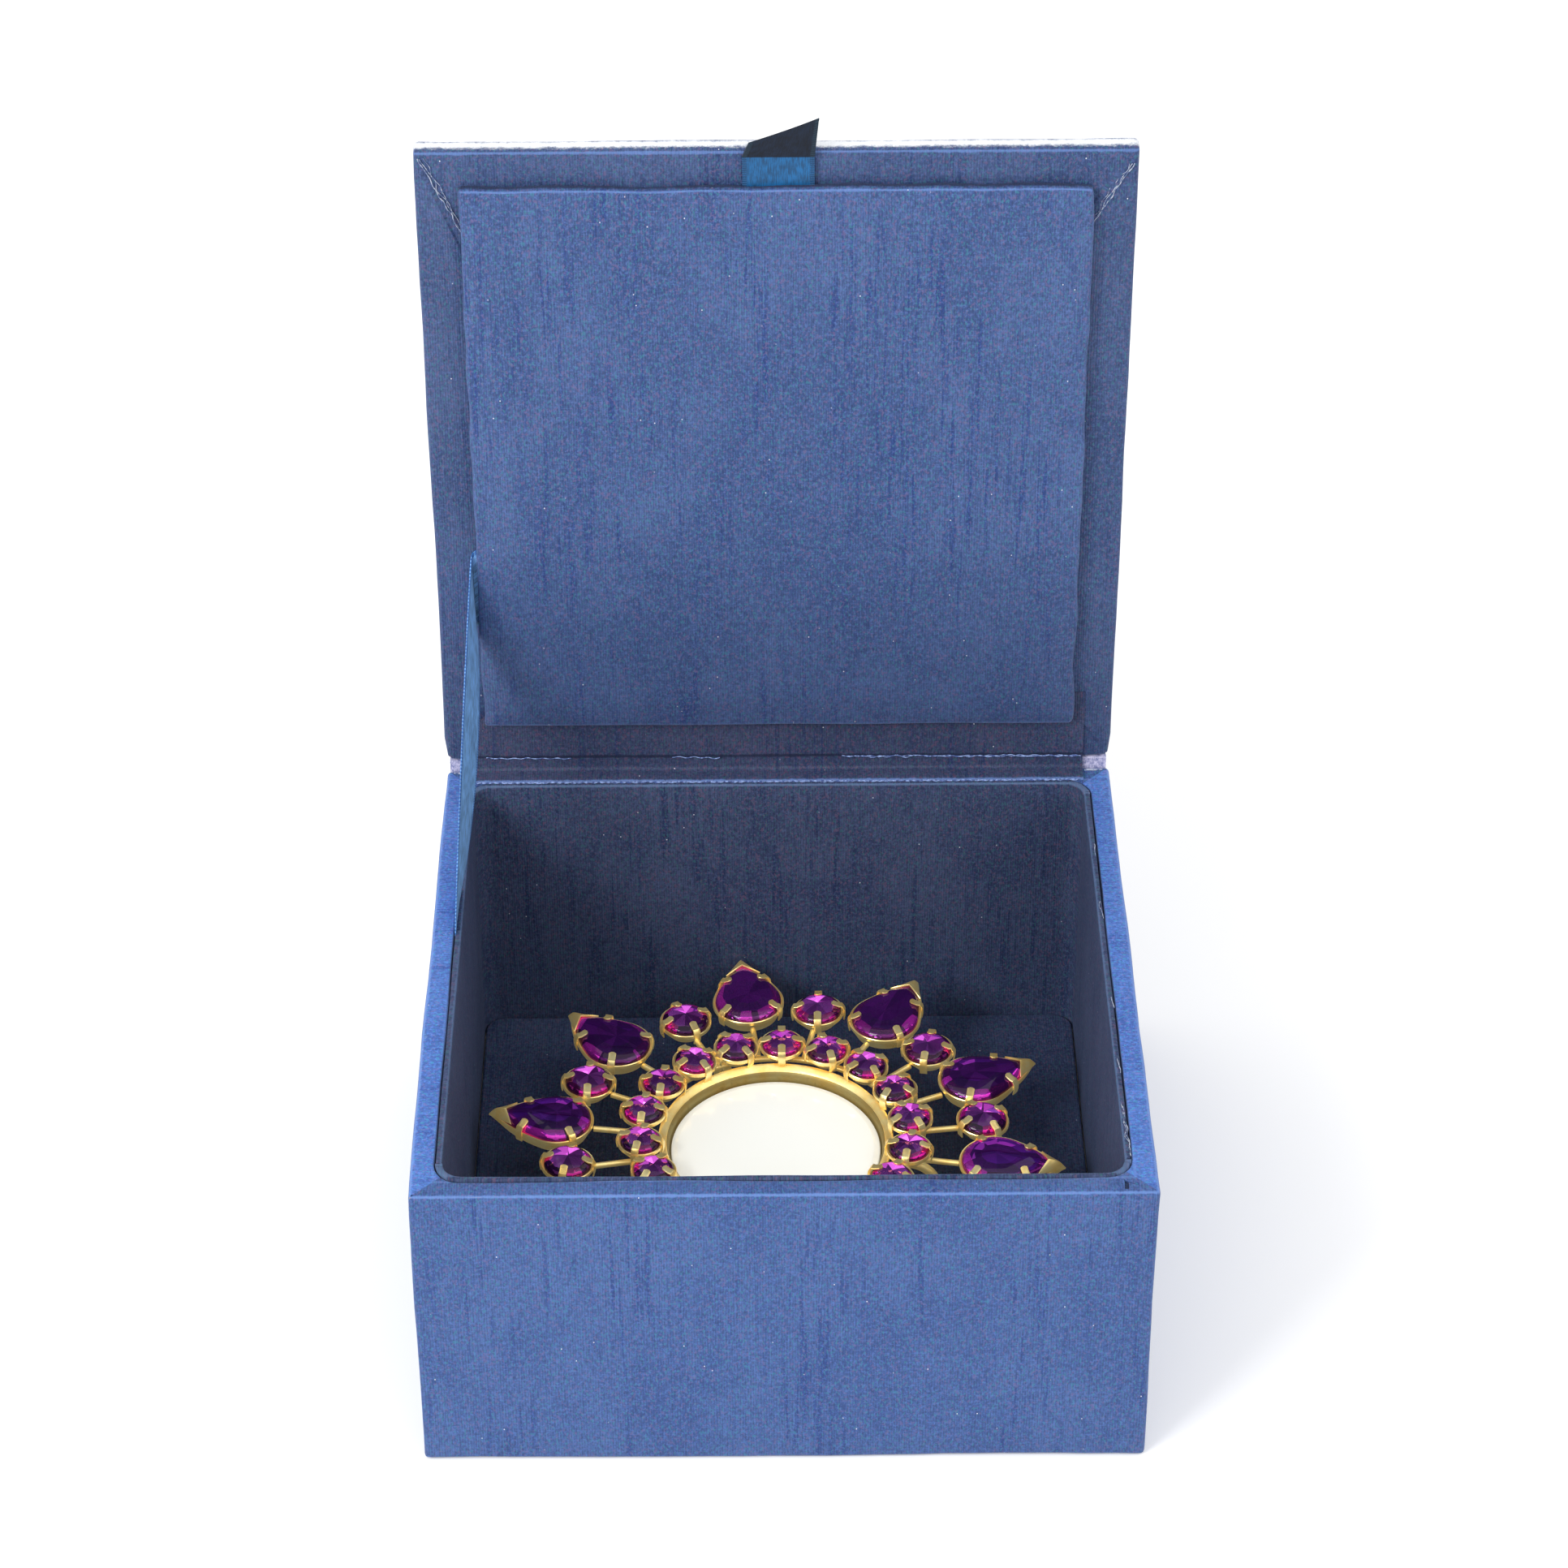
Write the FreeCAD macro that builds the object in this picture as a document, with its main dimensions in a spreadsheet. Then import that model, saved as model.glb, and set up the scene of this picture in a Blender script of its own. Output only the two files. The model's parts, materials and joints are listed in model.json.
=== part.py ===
import FreeCAD, Part
import Sketcher
import math
import os
import re

# A cloth-covered gift box with a hinged lid, and the jewelled candle holder that it presents.
# Millimetres. The origin is the middle of the tray's underside: +X to the right, +Y towards the
# hinge, +Z up. The lid stands open. Pieces of the lid are laid out flat, in the lid's own frame:
# +X to the right, +Y up the lid from its hinged edge, +Z out of its inner face.

SIZES = {
    # the tray and its layers
    "box_width": 125.0,
    "box_depth": 122.9,
    "box_height": 59.8,
    "cloth": 0.35,
    "stay_paper": 0.15,
    "wall_board": 3.1,
    "base_board": 2.9,
    "liner_card": 1.0,
    "floor_card": 1.0,
    "turn_in": 15.0,
    "underside_margin": 12.0,
    "stay_leg": 12.0,
    "liner_gap": 0.1,
    "pad_gap": 0.2,
    # the lid and its hinge
    "lid_board": 3.5,
    "front_overhang": 0.6,
    "rear_overhang": 3.4,
    "side_overhang": 0.1,
    "hinge_gap": 2.07,
    "open_angle": 90.9,
    "hinge_cloth_inset": 5.1,
    "spine_inset": 0.6,
    "hinge_margin": 15.0,
    "hinge_clear": 0.05,
    # the padded panel inside the lid
    "panel_card": 0.9,
    "panel_wadding": 0.75,
    "panel_side_gap": 2.2,
    "panel_end_gap": 0.6,
    # the ribbons
    "ribbon": 0.25,
    "ribbon_width": 12.5,
    "ribbon_slack": 0.25,
    "pull_offset": 0.3,
    "pull_low": 1.0,
    "pull_high": 7.6,
    "tuck": 15.0,
    "tuck_depth": 0.35,
    "stay_rim_back": 38.5,
    "stay_lid_height": 31.0,
    "stay_lid_span": 15.0,
    "stay_lid_inset": 0.9,
    "stay_lid_tuck": 8.0,
    # the candle holder, measured up from the floor pad
    "star_clear": 0.65,
    "star_x": -1.0,
    "star_y": 2.5,
    "foot_gap": 0.1,
    "gold_sheet": 0.4,
    "stone_fit": 0.1,
    "disc_radius": 19.25,
    "disc_height": 2.8,
    "disc_bevel": 0.5,
    "disc_top": 11.8,
    "disc_fit": 0.35,
    "pan_sheet": 0.6,
    "lip_flare": 2.35,
    "lip_rise": 2.3,
    "inner_stone_radius": 3.7,
    "inner_dome": 1.5,
    "inner_stand": 1.9,
    "inner_foot": 2.3,
    "inner_spacing": 0.2,
    "round_stone_radius": 4.4,
    "round_dome": 1.8,
    "round_foot": 3.0,
    "outer_drop": 2.1,
    "shortest_stem": 0.5,
    "neighbour_spread": 3.29,
    "pear_stand": 2.2,
    "pear_stone_radius": 6.3,
    "pear_stone_length": 17.6,
    "pear_dome": 1.9,
    "pear_inset": 2.6,
    "pear_cup": 2.6,
    "pear_cap_length": 4.0,
    "pear_cap_rise": 1.5,
    "setting_band": 0.7,
    "setting_depth": 3.0,
    "prong_width": 1.2,
    "prong_reach": 1.5,
    "prong_rise": 1.1,
    "prong_drop": 0.7,
    "prong_sheet": 0.3,
    "wire_radius": 0.6,
    "stem_radius": 0.55,
    "leg_wire": 0.9,
}

# A pear's sides close in at its point, so a layer's thickness is three times as long there.
POINT_STRETCH = 3

# Values that follow from the sizes, as formulas of the sheet.
DERIVED = {
    "rim_width": "cloth + stay_paper + wall_board + cloth",
    "wall": "rim_width + liner_card + cloth",
    "base_low": "cloth",
    "base_top": "base_low + base_board",
    "board_top": "box_height - cloth",
    "floor_top": "base_top + floor_card + cloth",
    "skin": "cloth + stay_paper",
    "mouth_x": "box_width / 2 - wall",
    "mouth_y": "box_depth / 2 - wall",
    "lid_thick": "cloth + lid_board + cloth",
    "lid_x": "box_width / 2 + side_overhang",
    "lid_length": "front_overhang + box_depth + rear_overhang",
    "panel_lift": "2 * ribbon",
    "panel_top": "panel_lift + panel_card + panel_wadding + cloth",
    "panel_x": "mouth_x - panel_side_gap",
    "panel_low": "rear_overhang + wall + panel_end_gap",
    "panel_high": "lid_length - front_overhang - wall - panel_end_gap",
    "rest_gap": "2 * cloth + hinge_clear",
    "hinge_reach": "(hinge_gap + rear_overhang - rest_gap) / 2",
    "hinge_y": "box_depth / 2 + hinge_reach",
    "hinge_z": "box_height + rest_gap + hinge_reach",
    "edge_y": "rear_overhang - hinge_reach",
    "edge_z": "-hinge_reach",
    "lid_foot_y": "hinge_y + edge_y * cos(open_angle * 1deg) + edge_z * sin(open_angle * 1deg)",
    "lid_foot_z": "hinge_z - edge_y * sin(open_angle * 1deg) + edge_z * cos(open_angle * 1deg)",
    "lean": "open_angle - 90",
    "stay_x": "-box_width / 2 + rim_width",
    "stay_back": "box_depth / 2 - stay_rim_back",
    "stay_front": "stay_back - ribbon_width",
    "stay_lid_y": "lid_foot_y + (stay_lid_height + stay_lid_span / 2) * tan(lean * 1deg) - ribbon",
    "lip_radius": "disc_radius + lip_flare",
    "lip_top": "disc_top + lip_rise",
    "inner_rim": "lip_top + inner_stand",
    "outer_rim": "inner_rim - outer_drop",
    "inner_cup_radius": "inner_stone_radius + stone_fit + gold_sheet",
    "round_cup_radius": "round_stone_radius + stone_fit + gold_sheet",
    "pear_cup_radius": "pear_stone_radius + stone_fit + gold_sheet",
    "pear_cup_length": f"pear_stone_length + {POINT_STRETCH} * (stone_fit + gold_sheet)",
    "inner_taper": "(inner_cup_radius - inner_foot) / (setting_depth - setting_band)",
    "round_taper": "(round_cup_radius - round_foot) / (setting_depth - setting_band)",
    "lip_meets": "inner_foot + (setting_depth - inner_stand) * inner_taper",
    "inner_ring_radius": "lip_radius + lip_meets + stone_fit",
    "inner_edge": "inner_ring_radius + inner_cup_radius + shortest_stem",
    "crowded_radius": "neighbour_spread * (pear_cup_radius + round_cup_radius)",
    "round_ring_radius": "max(crowded_radius; inner_edge + round_cup_radius)",
    "pear_ring_radius": "round_ring_radius + pear_stand",
    "star_reach": "pear_ring_radius + pear_cup_length - pear_cup_radius",
    "star_room": "min(mouth_x - abs(star_x); mouth_y - abs(star_y)) - star_clear",
    "star_scale": "star_room / star_reach",
    "wire_height": "inner_rim - setting_depth - wire_radius",
    "stem_drop": "outer_rim - setting_band - wire_height - stem_radius",
    "stem_meets": "round_cup_radius - stem_drop * round_taper",
    "leg_radius": "(wire_height - wire_radius - foot_gap) / 2 - leg_wire",
}

# Ways round the candle holder, in degrees from +X, as its maker bent the stems by hand.
PEAR_ANGLES = [-9.8, 24, 59, 97, 137, 172, 208, 244, 280, 316]
ROUND_ANGLES = [7.2, 41.5, 77.5, 116, 154.5, 190, 226, 262, 298, 333]
INNER_START = 7.0
LEG_ANGLES = [-9, 111, 231]

ROUND_PRONG_ANGLES = [45, 135, 225, 315]
PEAR_PRONG_ANGLES = [125, 235]
PEAR_SHOULDER = 70.0

# A domed crown's outline: shares of the stone's radius, and of its dome's height.
CROWN_STEPS = [(1.0, 0.0), (0.7, 0.5), (0.35, 0.88), (0.0, 1.0)]

# The cap over a pear's point: its wings' spread and its post's half width, as shares.
CAP_WING_SHARE = 0.62
CAP_POST_SHARE = 1.2

doc = FreeCAD.newDocument("jewelry_gift_box")
sheet = doc.addObject("Spreadsheet::Sheet", "sizes")
WORDS = list(SIZES) + list(DERIVED)
nodes = []


def fill_sheet():
    """Write every size, then every formula, one to a row, and name its cell."""
    for row, word in enumerate(WORDS, start=1):
        sheet.set(f"A{row}", word)
        sheet.set(f"B{row}", str(SIZES[word]) if word in SIZES else "=" + DERIVED[word])
        sheet.setAlias(f"B{row}", word)
    doc.recompute()


def cells(expression):
    """Point each size's name in an expression at its cell of the sheet."""
    return re.sub(r"[a-z_]+", lambda m: f"sizes.{m.group()}" if m.group() in WORDS else m.group(),
                  str(expression))


def size(expression):
    """The present value of an expression of sizes."""
    value = sheet.evalExpression(cells(expression))
    return float(getattr(value, "Value", value))


def bind(thing, prop, expression):
    thing.setExpression(prop, cells(expression))


# --- sketches and pads -------------------------------------------------------------------------

def new_body(label):
    body = doc.addObject("PartDesign::Body", label)
    body.Label = label
    return body


def origin_plane(body, role):
    return next(part for part in body.Origin.OriginFeatures if part.Role == role)


def new_sketch(body, role="XY_Plane", offset="0", turn=0.0, turn_axis=(0, 1, 0)):
    """A sketch on one of the body's own planes, moved off it along its normal."""
    sketch = body.newObject("Sketcher::SketchObject", body.Name + "_sketch")
    sketch.AttachmentSupport = (origin_plane(body, role), [""])
    sketch.MapMode = "FlatFace"
    turned = FreeCAD.Rotation(FreeCAD.Vector(*turn_axis), turn)
    sketch.AttachmentOffset = FreeCAD.Placement(FreeCAD.Vector(), turned)
    bind(sketch, "AttachmentOffset.Base.z", offset)
    return sketch


def tie(sketch, constraint, expression):
    """Add a constraint whose value follows an expression."""
    name = f"c{sketch.ConstraintCount}"
    sketch.renameConstraint(sketch.addConstraint(constraint), name)
    bind(sketch, f"Constraints.{name}", expression)


def hold(sketch, direction, index, end, expression):
    """Tie one coordinate of a point to an expression, on whichever side of zero it lies."""
    value = size(expression)
    if value >= 0:
        tie(sketch, Sketcher.Constraint(direction, -1, 1, index, end, value), expression)
    else:
        tie(sketch, Sketcher.Constraint(direction, index, end, -1, 1, -value), f"-({expression})")


def polygon(sketch, points):
    """A closed outline of straight sides through points given as pairs of expressions."""
    places = [FreeCAD.Vector(size(x), size(y), 0) for x, y in points]
    first = sketch.GeometryCount
    count = len(points)
    for index in range(count):
        sketch.addGeometry(Part.LineSegment(places[index], places[(index + 1) % count]))
    for index, (x, y) in enumerate(points):
        following = first + (index + 1) % count
        sketch.addConstraint(Sketcher.Constraint("Coincident", first + index, 2, following, 1))
        hold(sketch, "DistanceX", first + index, 1, x)
        hold(sketch, "DistanceY", first + index, 1, y)


def rectangle(sketch, x, y):
    """A rectangle between the two expressions of x and the two of y."""
    polygon(sketch, [(x[0], y[0]), (x[1], y[0]), (x[1], y[1]), (x[0], y[1])])


def pear_outline(sketch, radius, length):
    """A round end about the origin, and two sides that leave it smoothly and meet at a point."""
    round_radius = size(radius)
    reach = f"{length} - ({radius})"
    tip = FreeCAD.Vector(size(reach), 0, 0)
    shoulder = math.radians(PEAR_SHOULDER)
    upper = FreeCAD.Vector(round_radius * math.cos(shoulder), round_radius * math.sin(shoulder), 0)
    chord = tip - upper
    turn = math.atan2(-chord.y, chord.x) - (math.pi / 2 - shoulder)
    bow = FreeCAD.Vector(-chord.y, chord.x, 0) * (math.tan(turn / 2) / 2)
    middle = upper + chord * 0.5 + bow
    lower, lower_middle = (FreeCAD.Vector(p.x, -p.y, 0) for p in (upper, middle))
    sketch.addGeometry(Part.Arc(upper, FreeCAD.Vector(-round_radius, 0, 0), lower))
    sketch.addGeometry(Part.Arc(lower, lower_middle, tip))
    sketch.addGeometry(Part.Arc(tip, middle, upper))
    sketch.addConstraint(Sketcher.Constraint("Coincident", 0, 3, -1, 1))
    tie(sketch, Sketcher.Constraint("Radius", 0, round_radius), radius)
    for side in (1, 2):
        ends = joined_ends(sketch, 0, side)
        sketch.addConstraint(Sketcher.Constraint("Tangent", 0, ends[0], side, ends[1]))
        hold(sketch, "DistanceX", side, ends[1], f"({radius}) * cos({PEAR_SHOULDER} * 1deg)")
    ends = joined_ends(sketch, 1, 2)
    sketch.addConstraint(Sketcher.Constraint("Coincident", 1, ends[0], 2, ends[1]))
    sketch.addConstraint(Sketcher.Constraint("PointOnObject", 1, ends[0], -1))
    hold(sketch, "DistanceX", 1, ends[0], reach)


def joined_ends(sketch, one, other):
    """Which ends of two curves lie at the same place."""
    pairs = [(a, b) for a in (1, 2) for b in (1, 2)]
    return min(pairs, key=lambda p: (sketch.getPoint(one, p[0]) - sketch.getPoint(other, p[1])).Length)


def pad(body, sketch, length, both_ways=False):
    feature = body.newObject("PartDesign::Pad", body.Name + "_pad")
    feature.Profile = sketch
    if both_ways:
        feature.SideType = "Symmetric"
    bind(feature, "Length", length)
    return feature


def pad_layer(body, x, y, z, window=None):
    """Add a flat layer between two heights, with a rectangular window cut in it if one is given."""
    sketch = new_sketch(body, offset=z[0])
    rectangle(sketch, x, y)
    if window:
        rectangle(sketch, *window)
    doc.recompute()
    pad(body, sketch, f"({z[1]}) - ({z[0]})")
    doc.recompute()


def notch(body, x, y, z):
    """Cut a rectangular notch, upwards from its lower height."""
    before = body.Shape.Volume
    sketch = new_sketch(body, offset=z[0])
    rectangle(sketch, x, y)
    doc.recompute()
    pocket = body.newObject("PartDesign::Pocket", body.Name + "_notch")
    pocket.Profile = sketch
    pocket.Reversed = True
    bind(pocket, "Length", f"({z[1]}) - ({z[0]})")
    doc.recompute()
    if body.Shape.Volume >= before:
        raise RuntimeError(f"{body.Label}: the notch cuts nothing")


def keep(thing):
    """Count a finished piece among the nodes to be written."""
    nodes.append(thing)
    return thing


def layer(label, x, y, z):
    body = new_body(label)
    pad_layer(body, x, y, z)
    return keep(body)


def cap(label, x, y, z, thickness):
    """A cloth over the top and round the four edges of a card."""
    body = new_body(label)
    inner = [inset(x, thickness), inset(y, thickness)]
    pad_layer(body, x, y, (z[0], f"{z[1]} - ({thickness})"), window=inner)
    pad_layer(body, x, y, (f"{z[1]} - ({thickness})", z[1]))
    return keep(body)


def about(half):
    """A pair of expressions for a width centred on zero."""
    return f"-({half})", half


def inset(pair, margin):
    return f"{pair[0]} + {margin}", f"{pair[1]} - ({margin})"


def on_side(side, near, far):
    """The distances near and far from the middle, on the side whose sign is given, lowest first."""
    return (f"{near}", f"{far}") if side == "+" else (f"-({far})", f"-({near})")


def put_on_lid(thing):
    """Stand a piece of the lid, laid out in the lid's frame, in its open place."""
    thing.Placement = FreeCAD.Placement(FreeCAD.Vector(), FreeCAD.Rotation(FreeCAD.Vector(1, 0, 0), 90))
    bind(thing, "Placement.Rotation.Angle", "180 - open_angle")
    bind(thing, "Placement.Base.y", "lid_foot_y")
    bind(thing, "Placement.Base.z", "lid_foot_z")
    return thing


# --- the tray ----------------------------------------------------------------------------------

def tray_boards():
    """A base board, with four wall boards standing on it, glued edge to edge."""
    far_x, far_y = "box_width / 2 - skin", "box_depth / 2 - skin"
    near_x, near_y = f"{far_x} - wall_board", f"{far_y} - wall_board"
    upright = ("base_top", "board_top")
    layer("base_board", about(far_x), about(far_y), ("base_low", "base_top"))
    layer("front_wall_board", about(far_x), (f"-({far_y})", f"-({near_y})"), upright)
    layer("rear_wall_board", about(far_x), (near_y, far_y), upright)
    layer("left_wall_board", (f"-({far_x})", f"-({near_x})"), about(near_y), upright)
    layer("right_wall_board", (near_x, far_x), about(near_y), upright)


def corner_stays():
    """Paper strips folded round the four upright corners of the boards."""
    half_x, half_y = "box_width / 2 - cloth", "box_depth / 2 - cloth"
    body = new_body("corner_stays")
    inner = [about("box_width / 2 - skin"), about("box_depth / 2 - skin")]
    pad_layer(body, about(half_x), about(half_y), ("base_top", "board_top"), window=inner)
    gap_x, gap_y = f"{half_x} - stay_leg", f"{half_y} - stay_leg"
    notch(body, about(gap_x), about("box_depth"), ("base_top", "board_top"))
    notch(body, about("box_width"), about(gap_y), ("base_top", "board_top"))
    keep(body)


def tray_cover():
    """One cloth round the outside, over the rim, down inside it, and turned in underneath."""
    body = new_body("tray_cover_cloth")
    outside = about("box_width / 2"), about("box_depth / 2")
    under = [inset(side, "underside_margin") for side in outside]
    pad_layer(body, *outside, ("0", "base_low"), window=under)
    pad_layer(body, *outside, ("base_low", "board_top"), window=[inset(s, "cloth") for s in outside])
    rim = [inset(side, "rim_width") for side in outside]
    pad_layer(body, *outside, ("board_top", "box_height"), window=rim)
    facing = [inset(side, "rim_width - cloth") for side in outside]
    pad_layer(body, *facing, ("board_top - turn_in", "board_top"), window=rim)
    keep(body)


def underside_lining():
    half_x, half_y = "box_width / 2 - underside_margin", "box_depth / 2 - underside_margin"
    layer("underside_lining", about(half_x), about(half_y), ("0", "base_low"))


def side_liners():
    """Cloth-covered cards against the left and right walls; a ribbon is tucked behind the left."""
    half_y = "box_depth / 2 - rim_width"
    inner, under_cloth, outer = "mouth_x", "mouth_x + cloth", "box_width / 2 - rim_width"
    for label, side in (("left", "-"), ("right", "+")):
        card = new_body(f"{label}_liner_card")
        pad_layer(card, on_side(side, under_cloth, outer), about(half_y), ("base_top", "board_top"))
        cover = new_body(f"{label}_liner_cloth")
        pad_layer(cover, on_side(side, inner, under_cloth), about(half_y), ("base_top", "board_top"))
        pad_layer(cover, on_side(side, inner, outer), about(half_y), ("board_top", "box_height"))
        if label == "left":
            slot_x = ("stay_x", "stay_x + tuck_depth")
            slot_y = ("stay_front - ribbon_slack", "stay_back + ribbon_slack")
            notch(card, slot_x, slot_y, ("board_top - tuck", "board_top"))
            notch(cover, slot_x, slot_y, ("board_top", "box_height"))
        keep(card)
        keep(cover)


def end_liners():
    """Cloth-covered cards against the front and rear walls, between the side liners.

    The rear card is thinner, which leaves room behind it for the hinge cloth's tucked edge."""
    half_x = "mouth_x - liner_gap"
    inner, under_cloth, outer = "mouth_y", "mouth_y + cloth", "box_depth / 2 - rim_width"
    for label, side, back in (("front", "-", outer), ("rear", "+", f"{outer} - cloth - hinge_clear")):
        layer(f"{label}_liner_card", about(half_x), on_side(side, under_cloth, back),
              ("base_top", "board_top"))
        cover = new_body(f"{label}_liner_cloth")
        pad_layer(cover, about(half_x), on_side(side, inner, under_cloth), ("base_top", "board_top"))
        pad_layer(cover, about(half_x), on_side(side, inner, back), ("board_top", "box_height"))
        keep(cover)


def floor_pad():
    half_x, half_y = "mouth_x - pad_gap", "mouth_y - pad_gap"
    layer("floor_pad_card", about(f"{half_x} - cloth"), about(f"{half_y} - cloth"),
          ("base_top", "base_top + floor_card"))
    cap("floor_pad_cloth", about(half_x), about(half_y), ("base_top", "floor_top"), "cloth")


# --- the lid -----------------------------------------------------------------------------------

def lid_shell():
    """A board wrapped in cloth that is turned in over the edges of its inner face."""
    whole = about("lid_x"), ("0", "lid_length")
    board = [inset(side, "cloth") for side in whole]
    board_z = "-lid_thick + cloth", "-cloth"
    put_on_lid(layer("lid_board", *board, board_z))
    body = new_body("lid_cover_cloth")
    pad_layer(body, *whole, ("-lid_thick", board_z[0]))
    pad_layer(body, *whole, board_z, window=board)
    pad_layer(body, *whole, (board_z[1], "0"), window=[inset(side, "turn_in") for side in whole])
    put_on_lid(keep(body))


def lid_panel():
    """A padded, cloth-covered card that drops into the tray's mouth when the lid shuts."""
    whole = about("panel_x"), ("panel_low", "panel_high")
    inner = [inset(side, "cloth") for side in whole]
    wadding_low = "panel_lift + panel_card"
    put_on_lid(layer("lid_panel_card", *inner, ("panel_lift", wadding_low)))
    put_on_lid(layer("lid_panel_wadding", *inner, (wadding_low, "panel_top - cloth")))
    put_on_lid(cap("lid_panel_cloth", *whole, ("panel_lift", "panel_top"), "cloth"))


def pull_ribbon():
    """A doubled ribbon from under the panel, past the lid's edge, folded over on a slant."""
    body = new_body("pull_ribbon")
    sketch = new_sketch(body)
    left, right = "pull_offset - ribbon_width / 2", "pull_offset + ribbon_width / 2"
    low = "panel_high - tuck"
    polygon(sketch, [(left, low), (right, low), (right, "lid_length + pull_high"),
                     (left, "lid_length + pull_low")])
    doc.recompute()
    pad(body, sketch, "2 * ribbon")
    put_on_lid(keep(body))


# --- what crosses the hinge --------------------------------------------------------------------

def block(label, x, y, z):
    """A plain block between three pairs of expressions."""
    box = doc.addObject("Part::Box", label)
    for prop, axis, pair in (("Length", "x", x), ("Width", "y", y), ("Height", "z", z)):
        bind(box, prop, f"({pair[1]}) - ({pair[0]})")
        bind(box, f"Placement.Base.{axis}", pair[0])
    return box


def lid_block(label, x, y, z):
    """A block laid out in the lid's frame and stood in its open place."""
    body = new_body(label)
    pad_layer(body, x, y, z)
    return put_on_lid(body)


def joined(label, pieces):
    whole = doc.addObject("Part::MultiFuse", label)
    whole.Shapes = pieces
    whole.Refine = True
    return keep(whole)


def hinge_lining():
    """The inner hinge cloth: tucked behind the rear liner, over the rim, and up under the panel."""
    x = about("box_width / 2 - hinge_cloth_inset")
    outer = "box_depth / 2 - hinge_clear"
    inner = "box_depth / 2 - rim_width - cloth"
    rim_z = "box_height", "box_height + cloth"
    tuck_y = inner, "box_depth / 2 - rim_width"
    tuck_x = about("mouth_x - liner_gap")
    joined("hinge_lining_cloth", [
        block("lining_tuck", tuck_x, tuck_y, ("board_top - turn_in", rim_z[1])),
        block("lining_rim", x, (inner, outer), rim_z),
        block("lining_gap", x, (f"{outer} - cloth", outer), ("box_height", "lid_foot_z")),
        lid_block("lining_lid", x, ("-cloth", "hinge_margin"), ("0", "cloth")),
    ])


def spine():
    """The outer hinge cloth: glued to the rear wall and round the hinged edge of the lid."""
    x = about("box_width / 2 - spine_inset")
    rear = "box_depth / 2", "box_depth / 2 + cloth"
    joined("spine_cloth", [
        block("spine_wall", x, rear, ("box_height - hinge_margin", "lid_foot_z - hinge_clear")),
        lid_block("spine_edge", x, ("-cloth", "0"), ("-lid_thick - cloth", "0")),
        lid_block("spine_lid", x, ("-cloth", "hinge_margin"), ("-lid_thick - cloth", "-lid_thick")),
    ])


def stay_ribbon():
    """The ribbon that stops the lid: tucked behind the left liner, and up under the panel."""
    ribbon_x = "stay_x + hinge_clear", "stay_x + hinge_clear + ribbon"
    lid_x = "-panel_x - stay_lid_inset"
    lid_low = "lid_foot_z + stay_lid_height"
    far = "stay_lid_y - stay_front"
    span = new_body("stay_span")
    sketch = new_sketch(span, role="YZ_Plane")
    polygon(sketch, [("ribbon_width", "box_height"), (far, lid_low), (far, f"{lid_low} + stay_lid_span"),
                     ("0", "box_height")])
    doc.recompute()
    pad(span, sketch, "ribbon")
    span.Placement = FreeCAD.Placement(FreeCAD.Vector(), FreeCAD.Rotation(FreeCAD.Vector(0, 0, 1), -1))
    bind(span, "Placement.Rotation.Angle", f"-atan(({lid_x} - ({ribbon_x[0]})) / ({far}))")
    bind(span, "Placement.Base.x", ribbon_x[0])
    bind(span, "Placement.Base.y", "stay_front")
    doc.recompute()
    tucked = block("stay_tuck", ribbon_x, ("stay_front", "stay_back"),
                   ("board_top - tuck + ribbon", "box_height + ribbon"))
    under = new_body("stay_under_panel")
    sketch = new_sketch(under)
    high_edge = "stay_lid_height + stay_lid_span"
    far_x = f"{lid_x} + stay_lid_tuck"
    polygon(sketch, [(lid_x, "stay_lid_height"), (far_x, "stay_lid_height + stay_lid_tuck"),
                     (far_x, f"{high_edge} + stay_lid_tuck"), (lid_x, high_edge)])
    doc.recompute()
    pad(under, sketch, "2 * ribbon")
    joined("stay_ribbon", [tucked, span, put_on_lid(under)])


# --- the candle holder -------------------------------------------------------------------------

def revolved(label, points):
    """A solid turned about the upright axis from its half outline of radius and height."""
    body = new_body(label)
    sketch = new_sketch(body, role="XZ_Plane")
    polygon(sketch, points)
    doc.recompute()
    turned = body.newObject("PartDesign::Revolution", label + "_turn")
    turned.Profile = sketch
    turned.ReferenceAxis = (sketch, ["V_Axis"])
    turned.Angle = 360
    doc.recompute()
    return body


def bend_prong(body, angle, radius, rim):
    """A claw up the outside of a cup and over the edge of its stone."""
    sketch = new_sketch(body, role="XZ_Plane", turn=angle)
    root, outer = f"{radius} - gold_sheet / 2", f"{radius} + prong_sheet"
    tip = f"{radius} - prong_reach"
    polygon(sketch, [
        (root, f"{rim} - prong_drop"), (outer, f"{rim} - prong_drop"),
        (outer, f"{rim} + prong_sheet"), (tip, f"{rim} + prong_rise + prong_sheet"),
        (tip, f"{rim} + prong_rise"), (root, f"{rim} + prong_sheet / 2"),
    ])
    doc.recompute()
    pad(body, sketch, "prong_width", both_ways=True)
    doc.recompute()


def round_setting(label, radius, foot, rim):
    """A tapered cup for a round stone, with four claws."""
    low, band = f"{rim} - setting_depth", f"{rim} - setting_band"
    inside, inside_foot = f"{radius} - gold_sheet", f"{foot} - gold_sheet / 2"
    body = revolved(label, [
        ("0", low), (foot, low), (radius, band), (radius, rim),
        (inside, rim), (inside, f"{band} + gold_sheet / 2"),
        (inside_foot, f"{low} + gold_sheet"), ("0", f"{low} + gold_sheet"),
    ])
    for angle in ROUND_PRONG_ANGLES:
        bend_prong(body, angle, radius, rim)
    return body


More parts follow.
